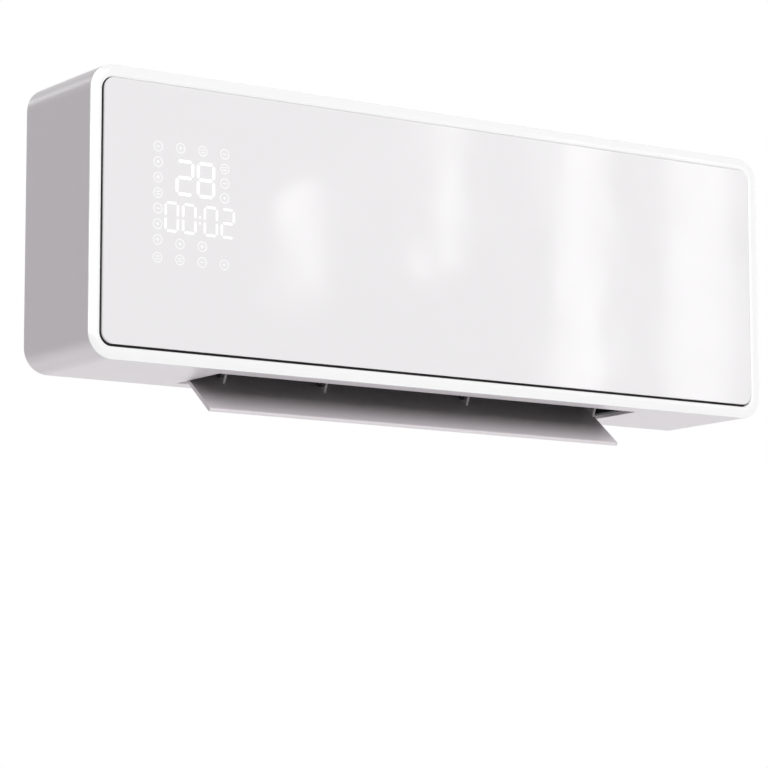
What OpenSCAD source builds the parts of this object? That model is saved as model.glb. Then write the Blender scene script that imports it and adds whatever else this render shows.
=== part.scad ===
// Bathroom wall fan heater: a slim casing that hangs on a steel wall bracket,
// with a glossy front pane, a lit display, a tangential fan blowing down through
// a ceramic heater, and a swing flap in the outlet underneath.
// X runs to the right as seen from the room, Y runs into the wall, Z is up.
// The origin is the centre of the four wall screws, on the wall plane.

/* [Casing] */
// Overall width of the casing
body_w = 552; // [500:1:640]
// Overall height of the casing
body_h = 190; // [188:1:220]
// Overall depth from the wall to the front
body_d = 86; // [85:1:100]
// Outer corner radius as seen from the front
corner_r = 17; // [16:0.5:26]
// Wall thickness of the mouldings
wall = 2.4; // [2:0.1:2.8]
// Clearance between parts that slip together
fit = 0.3; // [0.2:0.05:0.5]

/* [Front frame and pane] */
// Width of the raised white border
border_w = 8; // [7:0.5:10]
// Width of the bevel along the border's inner edge
bevel_w = 1.8; // [1:0.1:2.5]
// Fall of that bevel towards the pane
bevel_fall = 1; // [0.5:0.1:1.5]
// Fall of the border's crown from its crest to its outer edge
crown_fall = 0.9; // [0.4:0.1:1.3]
// Mean gap between the border and the pane
pane_gap = 1.1; // [1.1:0.1:1.8]
// How far the pane sits high and to the right in its opening
pane_shift = 0.8; // [0:0.1:0.8]
// Thickness of the pane
pane_t = 4; // [3:0.1:4.4]
// Ground chamfer on the pane's front edge
pane_chamfer = 0.5; // [0.3:0.1:0.8]
// Thickness of the foam tape behind the pane
tape_t = 1; // [0.6:0.1:1.2]

/* [Display] */
// Distance from the casing's left side to the left column of marks
display_inset = 49.5; // [46:0.5:60]
// Height of the temperature digits
temp_h = 23.7; // [20:0.1:24]
// Height of the clock digits
clock_h = 20; // [16:0.1:20]
// Outer diameter of the ring marks
mark_d = 7; // [5:0.1:8]

/* [Outlet and flap] */
// Length of the bay at each end of the outlet
end_bay = 106; // [105:0.5:114]
// How much further the outlet's opening runs at the flap motor's end
outlet_more = 4.4; // [0:0.1:4.4]
// Gap at each end of the flap
flap_end_gap = 1.4; // [1.3:0.1:2.5]
// Distance of the outlet's front edge behind the front
outlet_in = 16.8; // [16.5:0.1:22]
// Reach of the flap behind its pivot
flap_tail = 11; // [9:0.1:11.3]
// Thickness of the flap
flap_t = 2.5; // [2:0.1:3]
// Height of the pivot above the flap's inner face
pivot_h = 6; // [5.5:0.1:6.5]
// Distance of the pivot from the wall
pivot_from_wall = 28.9; // [28.5:0.1:29.6]
// Angle that the flap stands open
flap_open = 39.2; // [0:0.1:79]
// Radius of the flap's pivot pins
pin_r = 2; // [1.5:0.1:2.4]
// Running clearance of pins and shafts, in radius
run_fit = 0.05; // [0.03:0.01:0.08]

/* [Intake] */
// How far the intake grille stops short of the outlet at each end
grille_short = 4.5; // [1.5:0.5:20]
// Distance of the intake grille behind the front
grille_front = 16; // [15:0.5:22]
// Distance of the intake grille from the wall
grille_rear = 20; // [18:0.5:24]
// Width of one intake slot
slot_w = 3.4; // [2.5:0.1:4]
// Spacing of the intake slots
slot_pitch = 6.2; // [5.5:0.1:8]

/* [Fan] */
// Room between the fan wheel and the chamber's front edge
fan_front_gap = 4.5; // [4:0.1:6]
// Room between the fan wheel and the pocket in the rear cover
fan_rear_gap = 14.6; // [13:0.1:18]
// Number of blades
blades = 26; // [18:1:32]
// Height of the fan's axis above the centre
fan_z = 38; // [36:0.5:40]
// Radius of the motor's casing
motor_r = 28; // [26:0.5:30]
// Length of the motor's casing
motor_len = 46; // [40:1:52]

/* [Heater] */
// Height of the heater block
heater_h = 22; // [20:0.5:24]
// Height of the block's underside below the centre
heater_drop = 30; // [28:0.5:32]
// Room between the heater block and the chamber's front edge
heater_front_gap = 11.5; // [11:0.1:14]
// Room between the heater block and the pocket in the rear cover
heater_rear_gap = 11.6; // [10:0.1:14]
// Spacing of the corrugated fins
fin_pitch = 4.8; // [4:0.1:8]

/* [Wall bracket] */
// Distance of the wall screws in from the ends of the outlet
screw_in = 50; // [45:0.5:70]
// Spacing of the wall screws in height
screw_dz = 44; // [36:1:50]
// Radius of the wall screw holes
screw_hole_r = 2.75; // [2.25:0.05:3.25]
// Thickness of the bracket's steel
steel_t = 1.5; // [1.2:0.1:2]

/* [Mains inlet and switch] */
// Radius of the cord's bore in its grommet
cord_r = 4.1; // [3.5:0.1:4.5]
// Height of the cord inlet above the underside
cord_up = 31; // [29:1:34]
// Height of the switch above the underside
switch_up = 61; // [55:1:71]

/* [Hidden] */
$fn = 48;
// Overrun of a cutting shape past the face that it cuts
eps = 1;

// Main planes of the casing
half_w = body_w / 2;
half_h = body_h / 2;
front_y = -body_d;
inner_x = half_w - wall;
floor_z = -half_h + wall;
ceil_z = half_h - wall;
cover_y = -wall;

// Front frame: depths are measured back from the front plane
frame_round = 0.9;
frame_flat = 0.1;
frame_side = crown_fall + 0.7 * frame_round + frame_flat;
skirt_depth = 11;
skirt_t = 2.5;
pane_sink = 0.3;
pane_lap = 1;
seat_w = 5;
seat_t = 2;
pane_back = pane_sink + pane_t;
seat_depth = pane_back + tape_t;
tape_inset = 0.2;
tape_w = seat_w - 2 * tape_inset;
tab_w = 14;
tab_h = 1.1;
tab_long = 4;
tab_xs = [-190, -64, 64, 190];

// Display layout, in the plane of the pane
col_x = -half_w + display_inset;
col_pitch = 16.6;
row_z = 45.5;
row_pitch = 10.1;
window_t = 0.4;
temp_w = 13.9;
temp_pitch = 15.8;
temp_z = 27;
temp_x = col_x + 13;
clock_w = 10.8;
clock_z = 0.5;
clock_xs = [5, 18, 34.2, 47];
colon_x = 31.4;
colon_r = 0.8;
seg_share = 0.16;
seg_gap = 1.3;
last_drop = 1.6;
mark_line = 0.7;
guide_t = 4;
board_t = 1.6;
board_y = front_y + pane_back + guide_t;
display_mid_x = col_x + (clock_xs[3] + clock_w - mark_d / 2) / 2;
display_mid_z = row_z - (7 * row_pitch + last_drop) / 2;
display_board_w = 74;
display_board_h = 104;
display_hole_in = 3;
small_pilot_r = 1;
small_head_r = 2;
small_head_h = 0.9;
led_size = [1.6, 0.8, 1];
ir_w = 6;
ir_h = 4.4;
ir_t = 2.6;
ir_dome_r = 1.8;

// Outlet, duct and flap
pivot_y = -pivot_from_wall;
pivot_z = -half_h + flap_t + pivot_h;
outlet_w = body_w - 2 * end_bay;
flap_w = outlet_w - 2 * flap_end_gap;
flap_clear = 0.6;
tail_sweep = sqrt(pow(flap_tail, 2) + pow(pivot_h + flap_t, 2));
outlet_front = front_y + outlet_in;
flap_front = pivot_y - outlet_front - flap_clear;
outlet_rear = pivot_y + tail_sweep + flap_clear - 0.1;
chamber_x = outlet_w / 2 - 1;
duct_t = 2;
duct_top = -heater_drop;
guard_up = 18.5;
guard_z = pivot_z + guard_up;
guard_h = 4;
knee_clear = 6;
knee_step = 4;
duct_knee = guard_z + guard_h + knee_clear;
guard_bar = 1.4;
guard_bars = 6;
lug_t = 1.6;
lug_gap = 0.4;
lug_r = 3.6;
lug_foot = 5.6;
lug_in = [26.6, 1.3];
lug_xs = [-flap_w / 2 + lug_in[0], -62.2, 56, flap_w / 2 - lug_in[1]];
hanger_t = 2.6;
hanger_w = 8;
hanger_r = 4.4;
tab_boss_h = 3;
tab_boss_r = 4;
duct_tab = 17.6;
duct_tab_w = 10;
duct_tab_lap = 1.5;
flange_t = 1.4;
shaft_r = 2.5;
gearmotor_r = 11.6;
gearmotor_len = 16;
gearmotor_offset = 7.4;
gearmotor_ear = 14.4;
gearmotor_lug = 2.6;
gearmotor_lug_t = 1;
gearmotor_lug_h = 6;
gearmotor_bore = 9;
duct_shaft_gap = 1;
duct_tab_in = 11.7;
duct_tab_ys = [outlet_front + duct_tab_in,
    pivot_y + gearmotor_r + duct_tab_w / 2 - duct_tab_lap];

// Intake
grille_w = outlet_w - 2 * grille_short;
grille_d = body_d - grille_front - grille_rear;
grille_mid_y = -grille_rear - grille_d / 2;
grille_r = 4;
ledge = 4;
ledge_t = 2.4;
grille_skirt = 5.6;
skirt_wall = 1.6;
mesh_t = 1.4;
mesh_rim = 3;
mesh_bar = 0.8;
mesh_pitch = 8;
slot_margin = 2;
slots_end = 14;
notch_r = 2.2;
notch_len = 18;

// Fan and its chamber
plate_in = 12.5;
plate_front = front_y + plate_in;
pocket_d = 8;
chamber_room = body_d - plate_in - pocket_d - wall;
fan_r = (chamber_room - fan_front_gap - fan_rear_gap) / 2;
fan_y = plate_front + fan_front_gap + fan_r;
fan_side = 5.5;
fan_half = chamber_x - fan_side;
disc_t = 1.8;
fan_parts = 5;
blade_reach = 6.2;
stub_r = 3;
hub_r = 10;
hub_len = 12;
drive_hub_r = 6.5;
bearing_r = 7;
holder_r = 10;
plate_t = 2;
plate_gap = 0.6;
plate_top = ceil_z - grille_skirt - plate_gap;
plate_back = 5;
plate_rear = cover_y - plate_back;
foot_w = 13;
foot_h = 18;
foot_zs = [-22, 60];
boss_r = 4;
clear_r = 1.7;
pilot_r = 1.25;
thread_gap = 0.02;
scroll_r = fan_r + 7;
scroll_mid = [fan_y + 1.5, fan_z - 2];
scroll_t = 1.2;
scroll_low = -15;
scroll_high = 50;
scroll_rise = [8, 0.4];
guide_sheet = 1.4;
tongue_gap = 1.6;
tongue_drop = 16;
tongue_t = 1.4;
bearing_out = 3.5;
bearing_in = 1.5;
holder_out = 3;
holder_rim = 2.5;
holder_rim_t = 2;
stub_out = 6;
hub_proud = 1.5;
rim_lap = 1.4;
bow = 2.8;
blade_lean = -22;
fan_blade_t = 0.8;
blade_inset = 0.4;
shaft_hole_gap = 4;

// Motor
motor_gap = 5.5;
motor_x = chamber_x + plate_t + motor_gap;
motor_wall = 1.5;
motor_end_t = 2;
motor_boss_r = 8;
motor_boss_len = 6;
rotor_in = 11;
stator_in = 12;
stator_ring = 4;
winding_in = 7;
winding_edge = 1;
winding_gap = 2;
shaft_out = 3;
shaft_in = 1;
rotor_r = 14.5;
air_gap = 0.6;
winding_t = 5;
pole_count = 6;
pole_w = 6;
mount_ring = 21;
mount_angles = [90, 210, 330];
mount_r = 4.5;
mount_cap_t = 2;
mount_cap_in = 1;
stud_r = 2;

// Heater
heater_wall = 4;
heater_gap = chamber_room - heater_front_gap - heater_rear_gap - 2 * heater_wall;
heater_y = plate_front + heater_front_gap + heater_wall + heater_gap / 2;
heater_z0 = -heater_drop;
heater_z1 = heater_z0 + heater_h;
bar_t = 4;
bar_count = 2;
bar_end = 3;
fin_row = (heater_gap - bar_count * bar_t) / (bar_count + 1);
fin_t = 0.35;
fin_h = heater_h - 2 * heater_wall;
heater_end = 10.5;
heater_len = 2 * (chamber_x - heater_end);
stone_count = 12;
stone_pitch = heater_len / stone_count;
stone_t = 2.4;
stone_edge = 1;
stone_h = fin_h - 2 * stone_edge;
stone_w = 22;
blade_t = 0.8;
blade_h = 6.4;
blade_out = 9;
cutout_x = 96;
cutout_r = 6.6;
cutout_t = 8;
cutout_rim = 1.4;
cutout_rim_t = 1.2;
cutout_blade = [3.2, 4];
fuse_x = 60;
fuse_r = 2;
fuse_len = 12;
fuse_clip = [4, 3];

// Wall bracket and its pocket in the rear cover
screw_dx = outlet_w - 2 * screw_in;
bracket_side = 25;
bracket_edge = 13;
bracket_r = 6;
bracket_w = screw_dx + 2 * bracket_side;
bracket_h = screw_dz + 2 * bracket_edge;
bracket_window = [80, 24];
hook_window = 17;
hook_side = 1;
hook_gap = 0.6;
hook_w = 20;
hook_x = 82;
hook_z = 8;
hook_tip = 9;
pocket_gap = 5;
pocket_up = 9;
hook_room = 3;
cover_w = 2 * (inner_x - fit);
cover_h = 2 * (half_h - wall - fit);
cover_screw_r = 1.5;
head_r = 2.9;
head_h = 1.3;
casing_boss_len = 14;
casing_boss_r = 5.5;
boss_in = 7.5;
corner_boss = corner_r - (corner_r - boss_in) / sqrt(2);
mid_boss_in = 71;
mid_boss_x = half_w - mid_boss_in;
screw_tip = 4;
pilot_end = 2;
pilot_skin = 0.6;
cover_screws = concat(
    [for (x = [-1, 1], z = [-1, 1]) [x * (half_w - corner_boss), z * (half_h - corner_boss)]],
    [for (x = [-1, 1], z = [-1, 1]) [x * mid_boss_x, z * (half_h - boss_in)]]);

// Control board, on posts of the rear cover
post_len = 10;
pcb_w = 84;
pcb_h = 122;
pcb_in = 6;
pcb_corner = 4;
pcb_hole_r = 1.6;
pcb_x = -half_w + wall + pcb_in + pcb_w / 2;
pcb_z = 4;
pcb_face = cover_y - post_len - board_t;
pcb_hole_x = pcb_w / 2 - pcb_corner;
pcb_hole_z = pcb_h / 2 - pcb_corner;
post_r = 3.2;
// Parts on the board: place across and up from its centre, then width and height
relay_xs = [-24, 0];
relay_z = 42;
relay_size = [19, 15.5];
relay_tall = 15;
supply_block = [-20, 4, 26, 24];
supply_tall = 20;
capacitors = [[8, 12, 5], [8, -2, 4], [20, 12, 4]];
capacitor_shape = 3.4;
buzzer_at = [24, -30];
buzzer_r = 6;
buzzer_tall = 8;
socket_tall = 9;
heater_socket = [-18, -40, 18, 8];
mains_socket = [4, -40, 12, 8];
flap_socket = [24, -50, 12, 8];
display_socket = [30, 30, 8, 14];
fan_socket = [24, 48, 10, 10];
sensor_y = -54;
sensor_drop = 6;
sensor_r = 2.2;
sensor_len = 9;
sensor_clip = 1;
sensor_clip_t = 1.6;

// Mains inlet and switch, on the right end
cord_y = -22;
cord_z = -half_h + cord_up;
grommet_r = 7;
grommet_flange = 1.8;
grommet_lip = 1.2;
grommet_inner = 2;
terminal_from_end = 68;
terminal_x = inner_x - terminal_from_end;
terminal_ways = 3;
terminal_pitch = 11;
terminal_t = 17;
terminal_z = -50;
terminal_h = 20;
terminal_deep = 7;
terminal_bore = 3;
terminal_mouth = 5;
terminal_screw_r = 2.6;
switch_y = -30;
rocker_w = 10;
rocker_half = 8.3;
rocker_tilt = 8;
rocker_face = 2.4;
rocker_pin_r = 1.2;
switch_proud = 1.2;
switch_wall = 1.6;
switch_long = 14;
bezel_lap = 1;
rocker_keel = 4;
rocker_edge = 1.5;
rocker_end = 0.8;
rocker_x = half_w + switch_proud - rocker_face;
switch_z = -half_h + switch_up;
cavity_gap = [0.5, 1];
cavity_w = rocker_w + 2 * cavity_gap[0];
cavity_h = 2 * (rocker_half + cavity_gap[1]);
cavity_depth = 8;
switch_w = cavity_w + 2 * switch_wall;
switch_h = cavity_h + 2 * switch_wall;
lead_r = 1.3;
// Leads that cross the chamber run in front of the duct, at these heights
lane_y = plate_front + 1.5;
lane_zs = [duct_knee + 14, duct_knee + 9.5, duct_knee + 2];
lane_x = chamber_x + 8;
// Straight ends of the leads, where they meet sockets and blades
lead_end = 5;
display_lead_at = [10, 20];
display_lead_drop = 20;

// ---- helpers ----

// Extrudes a drawing made with x across and y up along Y, between two depths
module along_y(y0, y1) {
    translate([0, y1, 0]) rotate([90, 0, 0]) linear_extrude(y1 - y0) children();
}

// Extrudes a drawing made with x into the wall and y up along X
module along_x(x0, x1) {
    translate([x0, 0, 0]) rotate([90, 0, 90]) linear_extrude(x1 - x0) children();
}

// Rod along Y, X or Z
module rod_y(r, y0, y1) {
    translate([0, y1, 0]) rotate([90, 0, 0]) cylinder(h = y1 - y0, r = r);
}

module rod_x(r, x0, x1) {
    translate([x0, 0, 0]) rotate([0, 90, 0]) cylinder(h = x1 - x0, r = r);
}

// Block given by its lowest and highest corners
module block(low, high) {
    translate(low) cube(high - low);
}

// Rectangle with round corners, about the origin
module rounded_rect(w, h, r) {
    square([w - 2 * r, h], center = true);
    square([w, h - 2 * r], center = true);
    for (x = [-1, 1], z = [-1, 1])
        translate([x * (w / 2 - r), z * (h / 2 - r)]) circle(r);
}

// Sheet strip along the line between two points
module strip(a, b, t) {
    way = (b - a) / norm(b - a);
    side = [-way[1], way[0]] * t / 2;
    polygon([a - side, b - side, b + side, a + side]);
}

// Part of a ring between two angles less than 180 degrees apart
module arc_band(r_in, r_out, a0, a1) {
    far = 2 * r_out;
    intersection() {
        difference() {
            circle(r_out);
            circle(r_in);
        }
        polygon(concat([[0, 0]], [for (k = [0:4]) let(a = a0 + (a1 - a0) * k / 4)
            [far * cos(a), far * sin(a)]]));
    }
}

// Ring that follows the casing's outline. Each point of its cross-section is
// [distance in from the outline, depth behind the front plane]
module border_ring(section) {
    run_x = half_w - corner_r;
    run_z = half_h - corner_r;
    for (s = [0, 1]) {
        mirror([0, 0, s]) along_x(-run_x, run_x)
            polygon([for (p = section) [front_y + p[1], -half_h + p[0]]]);
        mirror([s, 0, 0]) translate([0, 0, -run_z]) linear_extrude(2 * run_z)
            polygon([for (p = section) [-half_w + p[0], front_y + p[1]]]);
        for (t = [0, 1])
            mirror([s, 0, 0]) mirror([0, 0, t]) translate([run_x, front_y, -run_z])
                rotate([-90, 0, 0]) rotate_extrude(angle = 90)
                    polygon([for (p = section) [corner_r - p[0], p[1]]]);
    }
}

// Pan-head screw along Y: its head's underside at the origin, its shank towards +Y
module screw(r, length, head = head_r, head_t = head_h) {
    rod_y(head, -head_t, 0);
    rod_y(r, -0.01, length);
}

function unit(v) = v / norm(v);

// Direction of the plane that halves the bend before stretch i
function mitre(ways, i) = unit(ways[i - 1] + ways[i]);

// Offset q from a lead's middle line, carried round its bends to stretch i
function carried(q, ways, i) = i == 0 ? q :
    let(p = carried(q, ways, i - 1), m = mitre(ways, i)) p - 2 * (p * m) * m;

// Insulated lead through a list of points, with mitred bends
module lead(points, r) {
    sides = 10;
    last = len(points) - 1;
    ways = [for (i = [0:last - 1]) unit(points[i + 1] - points[i])];
    u = unit(cross(ways[0], abs(ways[0][2]) < 0.9 ? [0, 0, 1] : [1, 0, 0]));
    v = cross(ways[0], u);
    starts = [for (k = [0:sides - 1]) let(a = 360 * k / sides) r * (cos(a) * u + sin(a) * v)];
    rings = [for (i = [0:last], q0 = starts)
        let(way = ways[max(i - 1, 0)], q = carried(q0, ways, max(i - 1, 0)),
            m = (i == 0 || i == last) ? way : mitre(ways, i))
        points[i] + q - way * (q * m) / (way * m)];
    polyhedron(rings, concat([[for (k = [0:sides - 1]) k]],
        [[for (k = [sides - 1:-1:0]) last * sides + k]],
        [for (i = [0:last - 1], k = [0:sides - 1]) let(a = i * sides, n = (k + 1) % sides)
            [a + k, a + sides + k, a + sides + n, a + n]]));
}

// One bar of a seven-segment digit, with pointed ends, along x
module segment(length, t) {
    polygon([[-length / 2, 0], [-length / 2 + t / 2, t / 2], [length / 2 - t / 2, t / 2],
        [length / 2, 0], [length / 2 - t / 2, -t / 2], [-length / 2 + t / 2, -t / 2]]);
}

// Seven-segment digit with its lower left corner at the origin; segments are
// top, upper right, lower right, bottom, lower left, upper left and middle
module digit(w, h, lit) {
    t = w * seg_share;
    arm = h / 2 - t / 2;
    reach = w - t;
    centres = [[w / 2, h - t / 2, 0], [w - t / 2, 0.75 * h - t / 4, 90],
        [w - t / 2, 0.25 * h + t / 4, 90], [w / 2, t / 2, 0], [t / 2, 0.25 * h + t / 4, 90],
        [t / 2, 0.75 * h - t / 4, 90], [w / 2, h / 2, 0]];
    for (k = lit)
        translate([centres[k][0], centres[k][1]]) rotate(centres[k][2])
            segment((centres[k][2] == 0 ? reach : arm) - seg_gap, t);
}

ZERO = [0, 1, 2, 3, 4, 5];
TWO = [0, 1, 3, 4, 6];
EIGHT = [0, 1, 2, 3, 4, 5, 6];

// Temperature over clock, with the segments that are lit or with all of them
module digit_plan(all_segments = false) {
    translate([temp_x, temp_z - temp_h / 2])
        digit(temp_w, temp_h, all_segments ? EIGHT : TWO);
    translate([temp_x + temp_pitch, temp_z - temp_h / 2]) digit(temp_w, temp_h, EIGHT);
    for (k = [0:3])
        translate([col_x + clock_xs[k], clock_z - clock_h / 2])
            digit(clock_w, clock_h, all_segments ? EIGHT : (k == 3 ? TWO : ZERO));
    for (z = [-2, 2]) translate([col_x + colon_x, clock_z + z]) circle(colon_r, $fn = 24);
}

// Places of the ring marks, as [x, z, kind of mark]
marks = concat(
    [for (k = [0:7]) [col_x, row_z - row_pitch * k - (k == 7 ? last_drop : 0), k % 4]],
    [for (k = [1:3]) [col_x + col_pitch * k, row_z + 0.6, (k + 1) % 4]],
    [for (k = [1:3]) [col_x + 3 * col_pitch, row_z + 0.4 - 9.6 * k, (k + 2) % 4]],
    [for (k = [1:2]) [col_x + col_pitch * k, -16.5, k % 4]],
    [for (k = [1:3]) [col_x + col_pitch * k, row_z - 7 * row_pitch - last_drop, (k + 2) % 4]]);

// Ring with a plain mark inside: a bar, a dot, a plus sign or two bars
module icon_mark(kind) {
    line = mark_line;
    inside = mark_d * 0.45;
    difference() {
        circle(mark_d / 2);
        circle(mark_d / 2 - line);
    }
    if (kind == 0) square([inside, line], center = true);
    if (kind == 1) circle(mark_d * 0.14, $fn = 24);
    if (kind == 2) {
        square([inside, line], center = true);
        square([line, inside], center = true);
    }
    if (kind == 3)
        for (z = [-0.9, 0.9]) translate([0, z]) square([inside, line], center = true);
}

module icon_plan() {
    for (m = marks) translate([m[0], m[1]]) icon_mark(m[2]);
}

// ---- casing and wall fixing ----

module wall_bracket() {
    color("silver") {
        difference() {
            along_y(-steel_t, 0) rounded_rect(bracket_w, bracket_h, bracket_r);
            for (x = [-1, 1], z = [-1, 1])
                translate([x * screw_dx / 2, 0, z * screw_dz / 2])
                    rod_y(screw_hole_r, -steel_t - eps, eps);
            for (x = [-1, 1])
                translate([x * hook_x, 0, 0])
                    block([-hook_w / 2 - hook_side, -steel_t - eps, hook_z + steel_t],
                        [hook_w / 2 + hook_side, eps, hook_z + steel_t + hook_window]);
            along_y(-steel_t - eps, eps)
                rounded_rect(bracket_window[0], bracket_window[1], bracket_r);
        }
        for (x = [-1, 1]) translate([x * hook_x, 0, 0]) {
            tip_y = -pocket_d - wall - hook_gap;
            block([-hook_w / 2, tip_y - steel_t, hook_z], [hook_w / 2, 0, hook_z + steel_t]);
            block([-hook_w / 2, tip_y - steel_t, hook_z], [hook_w / 2, tip_y, hook_z + hook_tip]);
        }
    }
}

module rear_cover() {
    // the pocket is deeper below the bracket, so that the heater can be lifted off
    pocket_low = -bracket_h / 2 - pocket_gap - pocket_up;
    pocket_high = bracket_h / 2 + pocket_gap;
    pocket_x = bracket_w / 2 + pocket_gap;
    color("white") difference() {
        union() {
            along_y(-wall, 0) rounded_rect(cover_w, cover_h, corner_r - wall - fit);
            block([-pocket_x - wall, -pocket_d - wall, pocket_low - wall],
                [pocket_x + wall, 0, pocket_high + wall]);
            for (x = [-1, 1], z = foot_zs)
                translate([x * (chamber_x + plate_t + foot_w / 2), 0, z])
                    rod_y(boss_r, plate_rear, -wall / 2);
            for (x = [-1, 1], z = [-1, 1])
                translate([pcb_x + x * pcb_hole_x, 0, pcb_z + z * pcb_hole_z])
                    rod_y(post_r, cover_y - post_len, -wall / 2);
        }
        for (k = [1:terminal_ways - 1])
            translate([terminal_x + k * terminal_pitch, 0, terminal_z])
                rod_y(pilot_r, -wall - eps, -pilot_skin);
        block([-pocket_x, -pocket_d, pocket_low], [pocket_x, eps, pocket_high]);
        for (x = [-1, 1]) translate([x * hook_x, 0, 0])
            block([-hook_w / 2 - fit, -pocket_d - wall - eps, hook_z - hook_tip - hook_room],
                [hook_w / 2 + fit, -pocket_d + eps, hook_z + steel_t]);
        for (p = cover_screws) translate([p[0], 0, p[1]]) {
            rod_y(cover_screw_r + fit, -wall - eps, eps);
            rod_y(head_r + fit, -head_h - 0.1, eps);
        }
        for (x = [-1, 1], z = foot_zs)
            translate([x * (chamber_x + plate_t + foot_w / 2), 0, z])
                rod_y(pilot_r, plate_rear - eps, -wall / 2 - 0.2);
        for (x = [-1, 1], z = [-1, 1])
            translate([pcb_x + x * pcb_hole_x, 0, pcb_z + z * pcb_hole_z])
                rod_y(pilot_r, cover_y - post_len - eps, -wall / 2 - 0.2);
    }
}

module main_casing() {
    color("white") difference() {
        union() {
            difference() {
                along_y(front_y + frame_side, 0) rounded_rect(body_w, body_h, corner_r);
                along_y(front_y, eps)
                    rounded_rect(body_w - 2 * wall, body_h - 2 * wall, corner_r - wall);
            }
            // ledge that the intake grille rests on
            block([-grille_w / 2 - ledge, grille_mid_y - grille_d / 2 - ledge / 2, ceil_z - ledge_t],
                [grille_w / 2 + ledge, grille_mid_y + grille_d / 2 + ledge / 2, ceil_z + 0.2]);
            // bosses for the rear cover's screws
            for (p = cover_screws) translate([p[0], 0, p[1]])
                rod_y(casing_boss_r, cover_y - casing_boss_len, cover_y);
            // bosses that carry the duct
            for (x = [-1, 1], y = duct_tab_ys)
                translate([x * (chamber_x + duct_t + duct_tab / 2), y, floor_z - wall / 2])
                    cylinder(h = tab_boss_h + wall / 2, r = tab_boss_r);
        }
        // opening and recess of the intake
        translate([0, grille_mid_y, ceil_z]) linear_extrude(wall + eps)
            rounded_rect(grille_w + 2 * fit, grille_d + 2 * fit, grille_r);
        translate([0, grille_mid_y, ceil_z - ledge_t - eps]) linear_extrude(wall + ledge_t)
            square([grille_w - 2 * ledge, grille_d - 2 * ledge], center = true);
        // outlet
        translate([outlet_more / 2, (outlet_front + outlet_rear) / 2, -half_h - eps])
            linear_extrude(wall + 2 * eps)
                rounded_rect(outlet_w + outlet_more, outlet_rear - outlet_front, 1);
        for (p = cover_screws) translate([p[0], 0, p[1]])
            rod_y(pilot_r, cover_y - casing_boss_len + pilot_end, eps);
        for (x = [-1, 1], y = duct_tab_ys)
            translate([x * (chamber_x + duct_t + duct_tab / 2), y, floor_z - wall / 2])
                cylinder(h = tab_boss_h + wall, r = pilot_r);
        // catch pockets of the front frame's snap tabs
        for (x = tab_xs, z = [0, 1]) mirror([0, 0, z])
            block([x - tab_w / 2 - fit, front_y + skirt_depth - tab_long - fit, floor_z - tab_h],
                [x + tab_w / 2 + fit, front_y + skirt_depth + fit, floor_z + eps]);
        // mains inlet and switch in the right end
        translate([0, cord_y, cord_z]) rod_x(grommet_r, inner_x - eps, half_w + eps);
        translate([0, switch_y, switch_z])
            block([inner_x - eps, -switch_w / 2 - fit, -switch_h / 2 - fit],
                [half_w + eps, switch_w / 2 + fit, switch_h / 2 + fit]);
    }
}

module front_frame() {
    crown = border_w - bevel_w;
    lip = wall + fit;
    color("white") {
        border_ring([[0, frame_side], [0, crown_fall + 0.7 * frame_round],
            [frame_round * 0.3, crown_fall + 0.2 * frame_round],
            [frame_round, 0.9 * crown_fall], [crown * 0.6, 0.3 * crown_fall],
            [crown, 0], [border_w - 0.4, bevel_fall * 0.6],
            [border_w, bevel_fall + 0.3], [border_w, seat_depth], [border_w + seat_w, seat_depth],
            [border_w + seat_w, seat_depth + seat_t], [lip + skirt_t, seat_depth + seat_t],
            [lip + skirt_t, skirt_depth], [lip, skirt_depth], [lip, frame_side]]);
        // snap tabs that click into the casing
        for (x = tab_xs, z = [0, 1]) mirror([0, 0, z])
            block([x - tab_w / 2, front_y + skirt_depth - tab_long, floor_z - tab_h + fit],
                [x + tab_w / 2, front_y + skirt_depth, floor_z + fit + 0.5]);
    }
}

module front_panel() {
    edge = border_w + pane_gap;
    ring_in = border_w + seat_w + 1;
    // the slab laps the ring
    slab_in = ring_in - pane_lap;
    color("whitesmoke") {
        translate([pane_shift, 0, pane_shift])
            border_ring([[edge, pane_sink + pane_chamfer], [edge + pane_chamfer, pane_sink],
                [ring_in, pane_sink], [ring_in, pane_back], [edge, pane_back]]);
        difference() {
            translate([pane_shift, 0, pane_shift])
                along_y(front_y + pane_sink, front_y + pane_back)
                    rounded_rect(body_w - 2 * slab_in, body_h - 2 * slab_in, corner_r - slab_in);
            along_y(front_y + pane_sink - eps, front_y + pane_sink + window_t) digit_plan();
            along_y(front_y + pane_sink - eps, front_y + pane_sink + window_t) icon_plan();
        }
    }
}

module panel_tape() {
    near = border_w + tape_inset;
    color("dimgray")
        border_ring([[near, pane_back], [near + tape_w, pane_back],
            [near + tape_w, seat_depth], [near, seat_depth]]);
}

// ---- display ----

module digit_windows() {
    color("white")
        along_y(front_y + pane_sink, front_y + pane_sink + window_t) digit_plan();
}

module icon_windows() {
    color("white")
        along_y(front_y + pane_sink, front_y + pane_sink + window_t) icon_plan();
}

// Places of the display board's corner screws
display_holes = [for (x = [-1, 1], z = [-1, 1])
    [display_mid_x + x * (display_board_w / 2 - display_hole_in),
        display_mid_z + z * (display_board_h / 2 - display_hole_in)]];

// Place of the remote control's receiver, under the marks
ir_at = [display_mid_x - 8, display_mid_z - display_board_h / 2 + ir_h / 2 + 2];

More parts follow.
